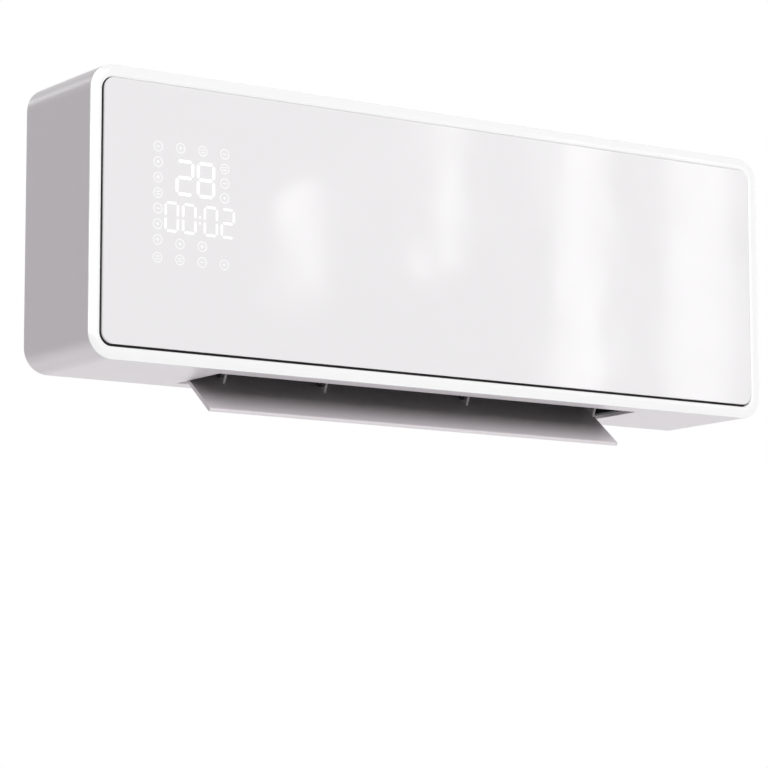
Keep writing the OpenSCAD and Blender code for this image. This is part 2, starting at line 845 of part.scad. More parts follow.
module light_guide() {
    y0 = front_y + pane_back;
    color("white") difference() {
        translate([display_mid_x, 0, display_mid_z])
            along_y(y0, board_y) rounded_rect(display_board_w, display_board_h, 2);
        along_y(y0 - eps, board_y + eps) digit_plan(all_segments = true);
        for (m = marks) translate([m[0], 0, m[1]])
            rod_y(mark_d / 2 - 0.5, y0 - eps, board_y + eps);
        for (p = display_holes) translate([p[0], 0, p[1]])
            rod_y(small_pilot_r, y0 + 0.6, board_y + eps);
        translate([ir_at[0], 0, ir_at[1]])
            block([-ir_w / 2 - 1, y0 - eps, -ir_h / 2 - 1], [ir_w / 2 + 1, board_y + eps, ir_h / 2 + 1]);
    }
}

module display_board() {
    color("darkgreen") difference() {
        translate([display_mid_x, 0, display_mid_z])
            along_y(board_y, board_y + board_t)
                rounded_rect(display_board_w, display_board_h, 2);
        for (p = display_holes) translate([p[0], 0, p[1]])
            rod_y(small_pilot_r + fit, board_y - eps, board_y + board_t + eps);
    }
}

// One lamp on the display board
module led(x, z) {
    translate([x - led_size[0] / 2, board_y - led_size[1], z - led_size[2] / 2]) cube(led_size);
}

// A lamp in each ring, and three under each digit's middle line
module display_leds() {
    color("gold") {
        for (m = marks) led(m[0], m[1]);
        for (k = [0, 1], z = [-1, 0, 1])
            led(temp_x + temp_w / 2 + k * temp_pitch, temp_z + z * (temp_h - temp_w * seg_share) / 2);
        for (x = clock_xs, z = [-1, 1])
            led(col_x + x + clock_w / 2, clock_z + z * (clock_h - clock_w * seg_share) / 2);
    }
}

module display_screws() {
    color("gray") for (p = display_holes) translate([p[0], board_y + board_t, p[1]])
        rotate([0, 0, 180])
            screw(small_pilot_r - thread_gap, board_t + 3, small_head_r, small_head_h);
}

module ir_receiver() {
    color("black") translate([ir_at[0], board_y, ir_at[1]]) {
        block([-ir_w / 2, -ir_t, -ir_h / 2], [ir_w / 2, 0, ir_h / 2]);
        rod_y(ir_dome_r, -ir_t - 1, -ir_t + 0.1);
    }
}

// ---- intake ----

module intake_grille() {
    slots = floor((grille_w - slots_end) / slot_pitch);
    slot_in = skirt_wall + slot_margin;
    opening_w = grille_w - 2 * ledge - 2 * fit;
    opening_d = grille_d - 2 * ledge - 2 * fit;
    color("white") difference() {
        union() {
            translate([0, grille_mid_y, ceil_z]) linear_extrude(wall)
                rounded_rect(grille_w, grille_d, grille_r - fit);
            translate([0, grille_mid_y, ceil_z - grille_skirt]) linear_extrude(grille_skirt)
                difference() {
                    square([opening_w, opening_d], center = true);
                    square([opening_w - 2 * skirt_wall, opening_d - 2 * skirt_wall],
                        center = true);
                }
        }
        for (k = [0:slots]) let(x = (k - slots / 2) * slot_pitch)
            block([x - slot_w / 2, grille_mid_y - opening_d / 2 + slot_in, ceil_z - eps],
                [x + slot_w / 2, grille_mid_y + opening_d / 2 - slot_in, half_h + eps]);
        // finger notches at the front edge
        for (x = [-1, 1]) translate([x * grille_w / 3, grille_mid_y - grille_d / 2, half_h])
            rod_x(notch_r, -notch_len / 2, notch_len / 2);
    }
}

module filter_mesh() {
    mesh_w = grille_w - 2 * ledge - 2 * fit - 2 * skirt_wall;
    mesh_d = grille_d - 2 * ledge - 2 * fit - 2 * skirt_wall;
    across = floor(mesh_w / mesh_pitch);
    deep = floor(mesh_d / mesh_pitch);
    color("slategray")
        translate([0, grille_mid_y, ceil_z - grille_skirt]) linear_extrude(mesh_t) {
            difference() {
                square([mesh_w, mesh_d], center = true);
                square([mesh_w - 2 * mesh_rim, mesh_d - 2 * mesh_rim], center = true);
            }
            for (k = [1:across - 1])
                translate([(k - across / 2) * mesh_pitch, 0])
                    square([mesh_bar, mesh_d - mesh_rim], center = true);
            for (k = [1:deep - 1])
                translate([0, (k - deep / 2) * mesh_pitch])
                    square([mesh_w - mesh_rim, mesh_bar], center = true);
        }
}

// ---- air chamber and fan ----

// End plate of the air chamber, on the left side; its foot turns outwards
module end_plate(bore_r) {
    x0 = -chamber_x - plate_t;
    color("lightgray") difference() {
        union() {
            along_x(x0, -chamber_x) polygon([[plate_rear, heater_z0], [plate_front, heater_z0],
                [plate_front, plate_top], [plate_rear, plate_top]]);
            for (z = foot_zs)
                block([x0 - foot_w, plate_rear - plate_t, z - foot_h / 2],
                    [x0 + plate_t / 2, plate_rear, z + foot_h / 2]);
        }
        translate([0, fan_y, fan_z]) rod_x(bore_r, x0 - eps, -chamber_x + eps);
        for (z = foot_zs)
            translate([x0 - foot_w / 2, 0, z]) rod_y(clear_r, plate_rear - plate_t - eps, eps);
    }
}

module left_end_plate() {
    color("lightgray") difference() {
        end_plate(holder_r);
        block([-chamber_x - plate_t - eps, heater_y - heater_gap / 2 + 2, heater_z0 + 3],
            [-chamber_x + eps, heater_y + heater_gap / 2 - 2, heater_z1 - 3]);
    }
}

module right_end_plate() {
    color("lightgray") difference() {
        mirror([1, 0, 0]) end_plate(shaft_r + shaft_hole_gap);
        for (a = mount_angles)
            translate([0, fan_y + mount_ring * cos(a), fan_z + mount_ring * sin(a)])
                rod_x(stud_r, chamber_x - eps, chamber_x + plate_t + eps);
    }
}

// Rear guide: an arc round the fan, a lip above it and a run down to the heater
module fan_scroll() {
    mid_r = scroll_r + scroll_t / 2;
    low = scroll_mid + mid_r * [cos(scroll_low), sin(scroll_low)];
    high = scroll_mid + mid_r * [cos(scroll_high), sin(scroll_high)];
    seat = [heater_y + heater_gap / 2 + heater_wall / 2, heater_z1 - 2];
    color("darkgray") along_x(-chamber_x, chamber_x) difference() {
        union() {
            translate(scroll_mid) arc_band(scroll_r, scroll_r + scroll_t, scroll_low, scroll_high);
            strip(seat, low, scroll_t);
            strip(high, [plate_rear - scroll_rise[0], plate_top - scroll_rise[1]], scroll_t);
            // stiffening beads where the sheet changes direction
            for (p = [low, high]) translate(p) circle(scroll_t * 1.2);
        }
        translate([-body_d, heater_z1 - 10]) square([body_d, 10]);
    }
}

// Front guide: a sheet with the tongue that cuts the air off the wheel
module fan_front_guide() {
    y0 = plate_front;
    tongue = [fan_y - fan_r - tongue_gap, fan_z - tongue_drop];
    foot = [heater_y - heater_gap / 2 - heater_wall + 1, heater_z1];
    color("darkgray") along_x(-chamber_x, chamber_x)
        polygon([[y0, plate_top], [y0 + guide_sheet, plate_top],
            [y0 + guide_sheet, tongue[1] + 4 * guide_sheet],
            tongue + [0.3, 2] * tongue_t, tongue + [0.7, 1] * tongue_t,
            foot + [1.3, 3] * guide_sheet, foot + [1.3, 0] * guide_sheet, foot,
            foot + [0, 2.6] * guide_sheet, tongue - [0.7, 0] * tongue_t,
            [y0, tongue[1] + 3.3 * guide_sheet]]);
}

// One blade section, curved and leaning into the turn
module blade_plan() {
    mid = fan_r - blade_reach / 2 - blade_inset;
    arc_r = sqrt(pow(blade_reach / 2, 2) + pow(bow, 2));
    span = atan2(bow, blade_reach / 2);
    translate([mid, 0]) rotate(blade_lean) translate([0, -bow])
        arc_band(arc_r - fan_blade_t / 2, arc_r + fan_blade_t / 2, span, 180 - span);
}

module fan_wheel() {
    color("gray") translate([0, fan_y, fan_z]) difference() {
        union() {
            along_x(-fan_half + disc_t / 2, fan_half - disc_t / 2)
                for (k = [0:blades - 1]) rotate(k * 360 / blades) blade_plan();
            for (x = [-fan_half, fan_half - disc_t]) rod_x(fan_r, x, x + disc_t);
            for (k = [1:fan_parts - 1])
                let(x = -fan_half + 2 * fan_half * k / fan_parts)
                    along_x(x - disc_t / 2, x + disc_t / 2) difference() {
                        circle(fan_r);
                        circle(fan_r - blade_reach - rim_lap);
                    }
            for (s = [0, 1]) mirror([s, 0, 0]) rod_x(hub_r, -fan_half, -fan_half + hub_len);
        }
        rod_x(stub_r, -fan_half - eps, -fan_half + hub_len + eps);
        rod_x(drive_hub_r, fan_half - hub_len - eps, fan_half + eps);
    }
}

module fan_stub_axle() {
    color("silver") translate([0, fan_y, fan_z])
        rod_x(stub_r, -chamber_x - plate_t - stub_out, -fan_half + hub_len);
}

module fan_bearing() {
    color("goldenrod") translate([0, fan_y, fan_z]) difference() {
        rod_x(bearing_r, -chamber_x - plate_t - bearing_out, -chamber_x + bearing_in);
        rod_x(stub_r + run_fit, -chamber_x - plate_t - bearing_out - eps,
            -chamber_x + bearing_in + eps);
    }
}

module bearing_holder() {
    x0 = -chamber_x - plate_t;
    color("black") translate([0, fan_y, fan_z]) difference() {
        union() {
            rod_x(holder_r, x0 - holder_out, -chamber_x + bearing_in);
            rod_x(holder_r + holder_rim, x0 - holder_rim_t, x0);
        }
        rod_x(bearing_r, x0 - holder_out - eps, -chamber_x + bearing_in + eps);
    }
}

module fan_drive_hub() {
    color("black") translate([0, fan_y, fan_z]) difference() {
        rod_x(drive_hub_r, fan_half - hub_len, fan_half + hub_proud);
        rod_x(shaft_r, fan_half - hub_len - eps, fan_half + hub_proud + eps);
    }
}

module motor_rotor() {
    core = [motor_x + rotor_in, motor_x + motor_len - rotor_in];
    color("silver") translate([0, fan_y, fan_z]) {
        rod_x(shaft_r, fan_half - hub_len + shaft_in, motor_x + motor_len + shaft_out);
        rod_x(rotor_r, core[0], core[1]);
    }
}

module motor_stator() {
    color("dimgray") translate([0, fan_y, fan_z])
        along_x(motor_x + stator_in, motor_x + motor_len - stator_in) {
            difference() {
                circle(motor_r - motor_wall);
                circle(motor_r - motor_wall - stator_ring);
            }
            for (k = [0:pole_count - 1]) rotate(k * 360 / pole_count) intersection() {
                difference() {
                    circle(motor_r - motor_wall - stator_ring / 2);
                    circle(rotor_r + air_gap);
                }
                translate([0, -pole_w / 2]) square([motor_r, pole_w]);
            }
        }
}

module motor_windings() {
    color("chocolate") translate([0, fan_y, fan_z])
        for (x = [motor_x + winding_in, motor_x + motor_len - winding_in - winding_t]) difference() {
            rod_x(motor_r - motor_wall - winding_edge, x, x + winding_t);
            rod_x(rotor_r + winding_gap, x - eps, x + winding_t + eps);
        }
}

module motor_housing() {
    x1 = motor_x + motor_len;
    color("silver") translate([0, fan_y, fan_z]) difference() {
        union() {
            difference() {
                rod_x(motor_r, motor_x, x1);
                rod_x(motor_r - motor_wall, motor_x + motor_end_t, x1 - motor_end_t);
            }
            rod_x(motor_boss_r, motor_x, motor_x + motor_boss_len);
            rod_x(motor_boss_r, x1 - motor_boss_len, x1);
        }
        rod_x(shaft_r + run_fit, motor_x - eps, x1 + eps);
    }
}

// Rubber feet between the motor and the right end plate, with their studs
module motor_mounts() {
    color("black") for (a = mount_angles)
        translate([0, fan_y + mount_ring * cos(a), fan_z + mount_ring * sin(a)]) {
            rod_x(mount_r, chamber_x + plate_t, motor_x);
            rod_x(stud_r - thread_gap, chamber_x - mount_cap_t / 2, chamber_x + plate_t + 0.1);
            rod_x(mount_r - mount_cap_in, chamber_x - mount_cap_t, chamber_x);
        }
}

// ---- heater ----

module heater_frame() {
    y0 = heater_y - heater_gap / 2;
    y1 = heater_y + heater_gap / 2;
    color("black") difference() {
        block([-chamber_x, y0 - heater_wall, heater_z0], [chamber_x, y1 + heater_wall, heater_z1]);
        block([-heater_len / 2, y0, heater_z0 - eps], [heater_len / 2, y1, heater_z1 + eps]);
        // slots for the bars' ends and the terminals
        for (k = [1:bar_count]) let(y = y0 + k * fin_row + (k - 0.5) * bar_t)
            block([-chamber_x - eps, y - bar_t / 2, heater_z0 + heater_wall],
                [heater_len / 2 + bar_end + 1, y + bar_t / 2, heater_z1 - heater_wall]);
    }
}

// Centre depths of the heating bars and of the fin rows
bar_ys = [for (k = [1:bar_count]) heater_y - heater_gap / 2 + k * fin_row + (k - 0.5) * bar_t];
fin_ys = [for (k = [0:bar_count])
    heater_y - heater_gap / 2 + (k + 0.5) * fin_row + k * bar_t];
heater_mid_z = heater_z0 + heater_h / 2;

module ptc_bars() {
    color("silver") for (y = bar_ys) difference() {
        block([-heater_len / 2 - bar_end, y - bar_t / 2, heater_mid_z - fin_h / 2],
            [heater_len / 2 + bar_end, y + bar_t / 2, heater_mid_z + fin_h / 2]);
        block([-heater_len / 2 - bar_end - eps, y - stone_t / 2, heater_mid_z - stone_h / 2],
            [heater_len / 2 + bar_end + eps, y + stone_t / 2, heater_mid_z + stone_h / 2]);
    }
}

module ptc_stones() {
    color("saddlebrown") for (y = bar_ys, k = [0:stone_count - 1])
        let(x = (k - (stone_count - 1) / 2) * stone_pitch)
            block([x - stone_w / 2, y - stone_t / 2, heater_mid_z - stone_h / 2 + fit],
                [x + stone_w / 2, y + stone_t / 2, heater_mid_z + stone_h / 2 - fit]);
}

// Corrugated fin strip between two bars
module heater_fins() {
    steps = floor(heater_len / fin_pitch) * 2 - 2;
    reach = fin_row - fin_t * 2;
    way = [for (k = [0:steps]) [(k - steps / 2) * fin_pitch / 2, (k % 2 - 0.5) * reach]];
    color("silver") for (y = fin_ys)
        translate([0, y, heater_mid_z - fin_h / 2]) linear_extrude(fin_h)
            polygon(concat([for (p = way) p + [0, fin_t]],
                [for (k = [steps:-1:0]) way[k] - [0, fin_t]]));
}

module heater_terminals() {
    x0 = -chamber_x - plate_t - blade_out;
    x1 = -(stone_count - 1) / 2 * stone_pitch - stone_w / 2;
    color("gold") for (y = bar_ys)
        block([x0, y - blade_t / 2, heater_mid_z - blade_h / 2],
            [x1, y + blade_t / 2, heater_mid_z + blade_h / 2]);
}

// Disc thermostat on the front of the heater block
module thermal_cutout() {
    y0 = heater_y - heater_gap / 2 - heater_wall;
    color("ivory") translate([cutout_x, 0, heater_mid_z]) {
        rod_y(cutout_r + cutout_rim, y0 - cutout_rim_t, y0);
        rod_y(cutout_r, y0 - cutout_t, y0 - cutout_rim_t / 2);
        for (x = [-1, 1]) translate([x * cutout_r / 2, 0, 0])
            block([-cutout_blade[0] / 2, y0 - cutout_t - cutout_blade[1], -blade_t / 2],
                [cutout_blade[0] / 2, y0 - cutout_t + 0.1, blade_t / 2]);
    }
}

module thermal_fuse() {
    y0 = heater_y - heater_gap / 2 - heater_wall;
    color("ivory") translate([fuse_x, y0 - fuse_r - 0.2, heater_mid_z]) {
        rod_x(fuse_r, -fuse_len / 2, fuse_len / 2);
        rod_x(fuse_r / 4, -fuse_len - 1, fuse_len + 1);
        for (x = [-fuse_len, fuse_len])
            translate([x, 0, 0]) block([-fuse_clip[0] / 2, 0, -fuse_clip[1] / 2],
                [fuse_clip[0] / 2, fuse_r + 0.2, fuse_clip[1] / 2]);
    }
}

// ---- outlet ----

// Profile of the duct's passage, grown by a wall
module duct_plan(t) {
    y0 = heater_y - heater_gap / 2;
    y1 = heater_y + heater_gap / 2;
    polygon([[y0 - t, duct_top], [y1 + t, duct_top], [outlet_rear + t, duct_knee - knee_step],
        [outlet_rear + t, floor_z], [outlet_front - t, floor_z], [outlet_front - t, duct_knee]]);
}

module air_duct() {
    outer = chamber_x + duct_t;
    color("black") difference() {
        union() {
            along_x(-outer, outer) duct_plan(duct_t);
            // flange that closes the outlet past the duct's end
            block([outer - 0.5, outlet_front - duct_t, floor_z],
                [outer + outlet_more, outlet_rear + duct_t, floor_z + flange_t]);
            for (x = [0, 1], y = duct_tab_ys) mirror([x, 0, 0])
                block([outer - 0.5, y - duct_tab_w / 2, floor_z + tab_boss_h],
                    [outer + duct_tab, y + duct_tab_w / 2, floor_z + tab_boss_h + duct_t]);
        }
        along_x(-chamber_x, chamber_x) duct_plan(0);
        along_x(-chamber_x, chamber_x) {
            translate([outlet_front, floor_z - eps])
                square([outlet_rear - outlet_front, 2 * eps]);
            translate([heater_y - heater_gap / 2, duct_top - eps])
                square([heater_gap, 2 * eps]);
        }
        for (x = [-1, 1], y = duct_tab_ys)
            translate([x * (outer + duct_tab / 2), y, floor_z])
                cylinder(h = tab_boss_h + duct_t + eps, r = clear_r);
        // way for the flap motor's shaft, and pilots for its screws
        translate([0, pivot_y, pivot_z]) {
            rod_x(shaft_r + duct_shaft_gap, chamber_x - eps, outer + eps);
            for (y = [-1, 1]) translate([0, y * gearmotor_ear, gearmotor_offset])
                rod_x(small_pilot_r, outer - duct_t + fit, outer + eps);
        }
    }
}

// Finger guard across the duct, with the hangers that carry the flap
module outlet_grille() {
    depth = outlet_rear - outlet_front;
    hanger_xs = [for (k = [0:2]) lug_xs[k] - lug_t / 2 - lug_gap - hanger_t / 2];
    color("dimgray") {
        for (k = [0:guard_bars + 1])
            let(y = outlet_front + guard_bar / 2 + (depth - guard_bar) * k / (guard_bars + 1))
                block([-chamber_x, y - guard_bar / 2, guard_z],
                    [chamber_x, y + guard_bar / 2, guard_z + guard_h]);
        for (x = concat(hanger_xs, [-chamber_x + guard_bar / 2, chamber_x - guard_bar / 2,
                (hanger_xs[0] + hanger_xs[1]) / 2, (hanger_xs[1] + hanger_xs[2]) / 2,
                (hanger_xs[2] + chamber_x) / 2]))
            block([x - guard_bar / 2, outlet_front, guard_z],
                [x + guard_bar / 2, outlet_rear, guard_z + guard_h]);
        for (x = hanger_xs) difference() {
            union() {
                block([x - hanger_t / 2, pivot_y - hanger_w / 2, pivot_z],
                    [x + hanger_t / 2, pivot_y + hanger_w / 2, guard_z + guard_h]);
                translate([0, pivot_y, pivot_z])
                    rod_x(hanger_r, x - hanger_t / 2, x + hanger_t / 2);
            }
            translate([0, pivot_y, pivot_z])
                rod_x(pin_r + run_fit, x - hanger_t, x + hanger_t);
        }
    }
}

// The flap is drawn shut and turned open about its pivot
module flap_pose() {
    translate([0, pivot_y, pivot_z]) rotate([flap_open, 0, 0]) children();
}

module outlet_flap() {
    nose = 0.7;
    ease = 0.5;
    color("whitesmoke") flap_pose() difference() {
        union() {
            // plate with eased long edges
            along_x(-flap_w / 2, flap_w / 2)
                polygon([[-flap_front, -pivot_h - nose], [-flap_front + nose, -pivot_h],
                    [flap_tail - ease, -pivot_h], [flap_tail, -pivot_h - ease],
                    [flap_tail, -pivot_h - flap_t + ease],
                    [flap_tail - ease, -pivot_h - flap_t],
                    [-flap_front + ease, -pivot_h - flap_t],
                    [-flap_front, -pivot_h - flap_t + ease]]);
            // lugs, each with its pin towards the left
            for (x = lug_xs) {
                along_x(x - lug_t / 2, x + lug_t / 2)
                    polygon([[-lug_foot, -pivot_h - 0.5], [lug_foot, -pivot_h - 0.5],
                        [0.9 * lug_r, 0.3 * lug_r], [-0.9 * lug_r, 0.3 * lug_r]]);
                rod_x(lug_r, x - lug_t / 2, x + lug_t / 2);
            }
            for (k = [0:2])
                rod_x(pin_r, lug_xs[k] - lug_t / 2 - lug_gap - hanger_t, lug_xs[k]);
        }
        rod_x(shaft_r, lug_xs[3] - lug_t, lug_xs[3] + lug_t);
    }
}

module flap_drive_shaft() {
    color("silver") flap_pose()
        rod_x(shaft_r, lug_xs[3] - lug_t / 2, chamber_x + duct_t + gearmotor_bore - 1);
}

module flap_motor() {
    x0 = chamber_x + duct_t;
    color("lightgray") translate([0, pivot_y, pivot_z]) difference() {
        union() {
            translate([0, 0, gearmotor_offset]) rod_x(gearmotor_r, x0, x0 + gearmotor_len);
            translate([0, 0, gearmotor_offset])
                block([x0, -gearmotor_ear - gearmotor_lug, -gearmotor_lug_h / 2],
                    [x0 + gearmotor_lug_t, gearmotor_ear + gearmotor_lug, gearmotor_lug_h / 2]);
        }
        rod_x(shaft_r + run_fit, x0 - eps, x0 + gearmotor_bore);
        for (y = [-1, 1]) translate([0, y * gearmotor_ear, gearmotor_offset])
            rod_x(small_pilot_r, x0 - eps, x0 + gearmotor_lug_t + eps);
    }
}

// ---- electrics ----

module control_board() {
    color("darkgreen") difference() {
        translate([pcb_x, 0, pcb_z])
            along_y(pcb_face, pcb_face + board_t) rounded_rect(pcb_w, pcb_h, 2);
        for (x = [-1, 1], z = [-1, 1])
            translate([pcb_x + x * pcb_hole_x, 0, pcb_z + z * pcb_hole_z])
                rod_y(pcb_hole_r, pcb_face - eps, pcb_face + board_t + eps);
    }
}

// Point on the control board's face, or off it by a height
function board_point(p, off = 0) = [pcb_x + p[0], pcb_face - off, pcb_z + p[1]];

// Block on the control board, from its place and size across the board
module on_board(p, tall) {
    translate(board_point(p)) block([-p[2] / 2, -tall, -p[3] / 2], [p[2] / 2, 0, p[3] / 2]);
}

module relays() {
    color("royalblue") for (x = relay_xs)
        on_board([x, relay_z, relay_size[0], relay_size[1]], relay_tall);
}

module power_supply() {
    color("gold") on_board(supply_block, supply_tall);
}

module board_capacitors() {
    color("black") for (c = capacitors)
        translate(board_point(c)) rod_y(c[2], -capacitor_shape * c[2], 0);
}

module buzzer() {
    color("black") translate(board_point(buzzer_at)) difference() {
        rod_y(buzzer_r, -buzzer_tall, 0);
        rod_y(buzzer_r / 5, -buzzer_tall - eps, -buzzer_tall + 2);
    }
}

module board_sockets() {
    color("ivory")
        for (p = [heater_socket, mains_socket, flap_socket, display_socket, fan_socket])
            on_board(p, socket_tall);
}

// Bead on a clip, in the intake air
module room_sensor() {
    color("black") translate([-chamber_x, sensor_y, plate_top - sensor_drop]) {
        rod_x(sensor_r, 0, sensor_len);
        half = sensor_r + sensor_clip;
        block([0, -half, -half], [sensor_clip_t, half, half]);
    }
}

module terminal_block() {
    low = terminal_z - terminal_h / 2;
    high = terminal_z + terminal_h / 2;
    color("whitesmoke") difference() {
        block([terminal_x, cover_y - terminal_t, low],
            [terminal_x + terminal_ways * terminal_pitch, cover_y, high]);
        for (k = [0:terminal_ways - 1])
            translate([terminal_x + terminal_pitch * (k + 0.5), cover_y - terminal_deep, 0]) {
                for (z = [low - eps, high - terminal_mouth]) translate([0, 0, z])
                    cylinder(h = terminal_mouth + eps, r = terminal_bore);
                translate([0, 0, terminal_z])
                    rod_y(terminal_screw_r, -terminal_t, -terminal_bore);
            }
        for (k = [1:terminal_ways - 1])
            translate([terminal_x + k * terminal_pitch, 0, terminal_z])
                rod_y(clear_r, cover_y - terminal_t - eps, cover_y + eps);
    }
}

module cord_grommet() {
    color("white") translate([0, cord_y, cord_z]) difference() {
        union() {
            rod_x(grommet_r - thread_gap, inner_x, half_w);
            rod_x(grommet_r + grommet_flange, half_w, half_w + grommet_lip);
            rod_x(grommet_r + grommet_flange, inner_x - grommet_inner, inner_x);
        }
        rod_x(cord_r, inner_x - grommet_inner - eps, half_w + grommet_lip + eps);
    }
}

module switch_housing() {
    color("black") translate([0, switch_y, switch_z]) difference() {
        union() {
            block([inner_x - switch_long, -switch_w / 2, -switch_h / 2],
                [half_w + 0.1, switch_w / 2, switch_h / 2]);
            block([half_w, -switch_w / 2 - bezel_lap, -switch_h / 2 - bezel_lap],
                [half_w + switch_proud, switch_w / 2 + bezel_lap, switch_h / 2 + bezel_lap]);
        }
        block([half_w - cavity_depth, -cavity_w / 2, -cavity_h / 2],
            [half_w + switch_proud + eps, cavity_w / 2, cavity_h / 2]);
        translate([rocker_x, 0, 0]) rod_y(rocker_pin_r + run_fit,
            -cavity_w / 2 - rocker_end - fit - 0.05, cavity_w / 2 + rocker_end + fit + 0.05);
    }
}

// The rocker stands with its lower half pressed in
module switch_rocker() {
    rise = rocker_half * tan(rocker_tilt);
    color("dimgray") translate([rocker_x, switch_y, switch_z]) rotate([0, rocker_tilt, 0]) {
        along_y(-rocker_w / 2, rocker_w / 2)
            polygon([[rocker_face, 0], [rocker_face + rise, rocker_half],
                [-rocker_edge, rocker_half], [-rocker_keel, rocker_half * 0.3],
                [-rocker_keel, -rocker_half * 0.3], [-rocker_edge, -rocker_half],
                [rocker_face + rise, -rocker_half]]);
        rod_y(rocker_pin_r, -cavity_w / 2 - rocker_end, cavity_w / 2 + rocker_end);
    }
}

// ---- fasteners ----

module casing_screws() {
    color("silver") for (p = cover_screws) translate([p[0], -head_h, p[1]]) rotate([0, 0, 180])
        screw(pilot_r - thread_gap, wall + casing_boss_len - head_h - screw_tip);
}

module chassis_screws() {
    color("silver") {
        for (x = [-1, 1], z = foot_zs)
            translate([x * (chamber_x + plate_t + foot_w / 2), plate_rear - plate_t, z])
                screw(pilot_r - thread_gap, plate_t + plate_back - 0.5);
        for (x = [-1, 1], z = [-1, 1])
            translate([pcb_x + x * pcb_hole_x, pcb_face, pcb_z + z * pcb_hole_z])
                screw(pilot_r - thread_gap, board_t + post_len - pilot_end);
        for (x = [-1, 1], y = duct_tab_ys)
            translate([x * (chamber_x + duct_t + duct_tab / 2), y,
                    floor_z + tab_boss_h + duct_t]) rotate([90, 0, 0])
                mirror([0, 1, 0]) screw(pilot_r - thread_gap, tab_boss_h + duct_t);
        for (y = [-1, 1])
            translate([chamber_x + duct_t + gearmotor_lug_t, pivot_y + y * gearmotor_ear,
                    pivot_z + gearmotor_offset]) rotate([0, 0, 90])
                screw(small_pilot_r - thread_gap, duct_t + gearmotor_lug_t - 0.5,
                    small_head_r, small_head_h);
        for (k = [1:terminal_ways - 1])
            translate([terminal_x + k * terminal_pitch, cover_y - terminal_t, terminal_z])
                screw(pilot_r - thread_gap, terminal_t + wall - pilot_skin - 0.2);
    }
}

// ---- leads ----

// From the terminals to the switch, and from the switch to the control board
module supply_leads() {
    back_x = inner_x - switch_long;
    top_z = terminal_z + terminal_h / 2;
    color("saddlebrown") for (k = [0, 1]) {
        x = terminal_x + terminal_pitch * (k + 0.5);
        y = cover_y - terminal_deep;
        z = switch_z + (2 * k - 1) * 5;
        lead([[x, y, top_z - terminal_mouth], [x, y, top_z + 4], [back_x - 10, switch_y + 3.5, z],
            [back_x, switch_y + 3.5, z]], lead_r);
        end = board_point(mains_socket, socket_tall) + [(2 * k - 1) * 3, 0, 0];
        lead([[back_x, switch_y - 3.5, z], [back_x - 10, switch_y - 3.5, z],
            [lane_x + 20, lane_y, lane_zs[1 - k]], [-lane_x, lane_y, lane_zs[1 - k]],
            [end[0], end[1] - 16, lane_zs[1 - k]], end - [0, lead_end, 0], end], lead_r);
    }
}

module heater_leads() {
    x0 = -chamber_x - plate_t - blade_out;
    color("red") for (k = [0, 1]) {
        end = board_point(heater_socket, socket_tall) + [(2 * k - 1) * 4, 0, 0];
        lead([[x0, bar_ys[k], heater_mid_z], [end[0], bar_ys[k], heater_mid_z],
            [end[0], bar_ys[k], end[2]], end], lead_r);
    }
}

// Leads of the fan motor, over the chamber, and of the flap motor, under it
module motor_leads() {
    top_y = -14;
    top_z = plate_top + lead_r + 1.6;
    x1 = motor_x + 20;
    fan_end = board_point(fan_socket, socket_tall);
    flap_x = chamber_x + duct_t + gearmotor_len;
    flap_z = pivot_z + gearmotor_offset;
    flap_end = board_point(flap_socket, socket_tall);
    color("black") {
        lead([[x1, fan_y, fan_z + motor_r], [x1, fan_y, top_z - 2], [lane_x, top_y, top_z],
            [-lane_x, top_y, top_z], [fan_end[0], top_y - 12, fan_end[2] + 16],
            [fan_end[0], fan_end[1] - 6, fan_end[2]], fan_end], lead_r);
        lead([[flap_x, pivot_y, flap_z], [flap_x + 6, pivot_y, flap_z],
            [lane_x + 18, lane_y - 1.5, lane_zs[2]], [-lane_x, lane_y - 1.5, lane_zs[2]],
            [flap_end[0], flap_end[1] - 18, flap_end[2]], flap_end], lead_r);
    }
}

module display_lead() {
    start = [display_mid_x + display_lead_at[0], board_y + board_t,
        display_mid_z + display_lead_at[1]];
    end = board_point(display_socket, socket_tall);
    color("lightgray")
        lead([start, start + [0, lead_end, 0], [end[0], end[1] - display_lead_drop, end[2]], end],
            lead_r);
}

wall_bracket();
rear_cover();
main_casing();
front_frame();
front_panel();
panel_tape();
digit_windows();
icon_windows();
light_guide();
display_board();
display_leds();
display_screws();
ir_receiver();
intake_grille();
filter_mesh();
left_end_plate();
right_end_plate();
fan_scroll();
fan_front_guide();
fan_wheel();
fan_stub_axle();
fan_bearing();
bearing_holder();
fan_drive_hub();
motor_rotor();
motor_stator();
motor_windings();
motor_housing();
motor_mounts();
heater_frame();
ptc_bars();
ptc_stones();
heater_fins();
heater_terminals();
thermal_cutout();
thermal_fuse();
air_duct();
outlet_grille();
outlet_flap();
flap_drive_shaft();
flap_motor();
control_board();
relays();
power_supply();
board_capacitors();
buzzer();
board_sockets();
room_sensor();
terminal_block();
cord_grommet();
switch_housing();
switch_rocker();
casing_screws();
chassis_screws();
supply_leads();
heater_leads();
motor_leads();
display_lead();
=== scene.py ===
"""Looks of the bathroom wall fan heater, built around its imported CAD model.

Metres. X runs to the right as seen from the room, Y into the wall, Z up. The
origin is the centre of the four wall screws, on the wall plane.
"""

import math

import bmesh
import bpy
from mathutils import Matrix, Vector


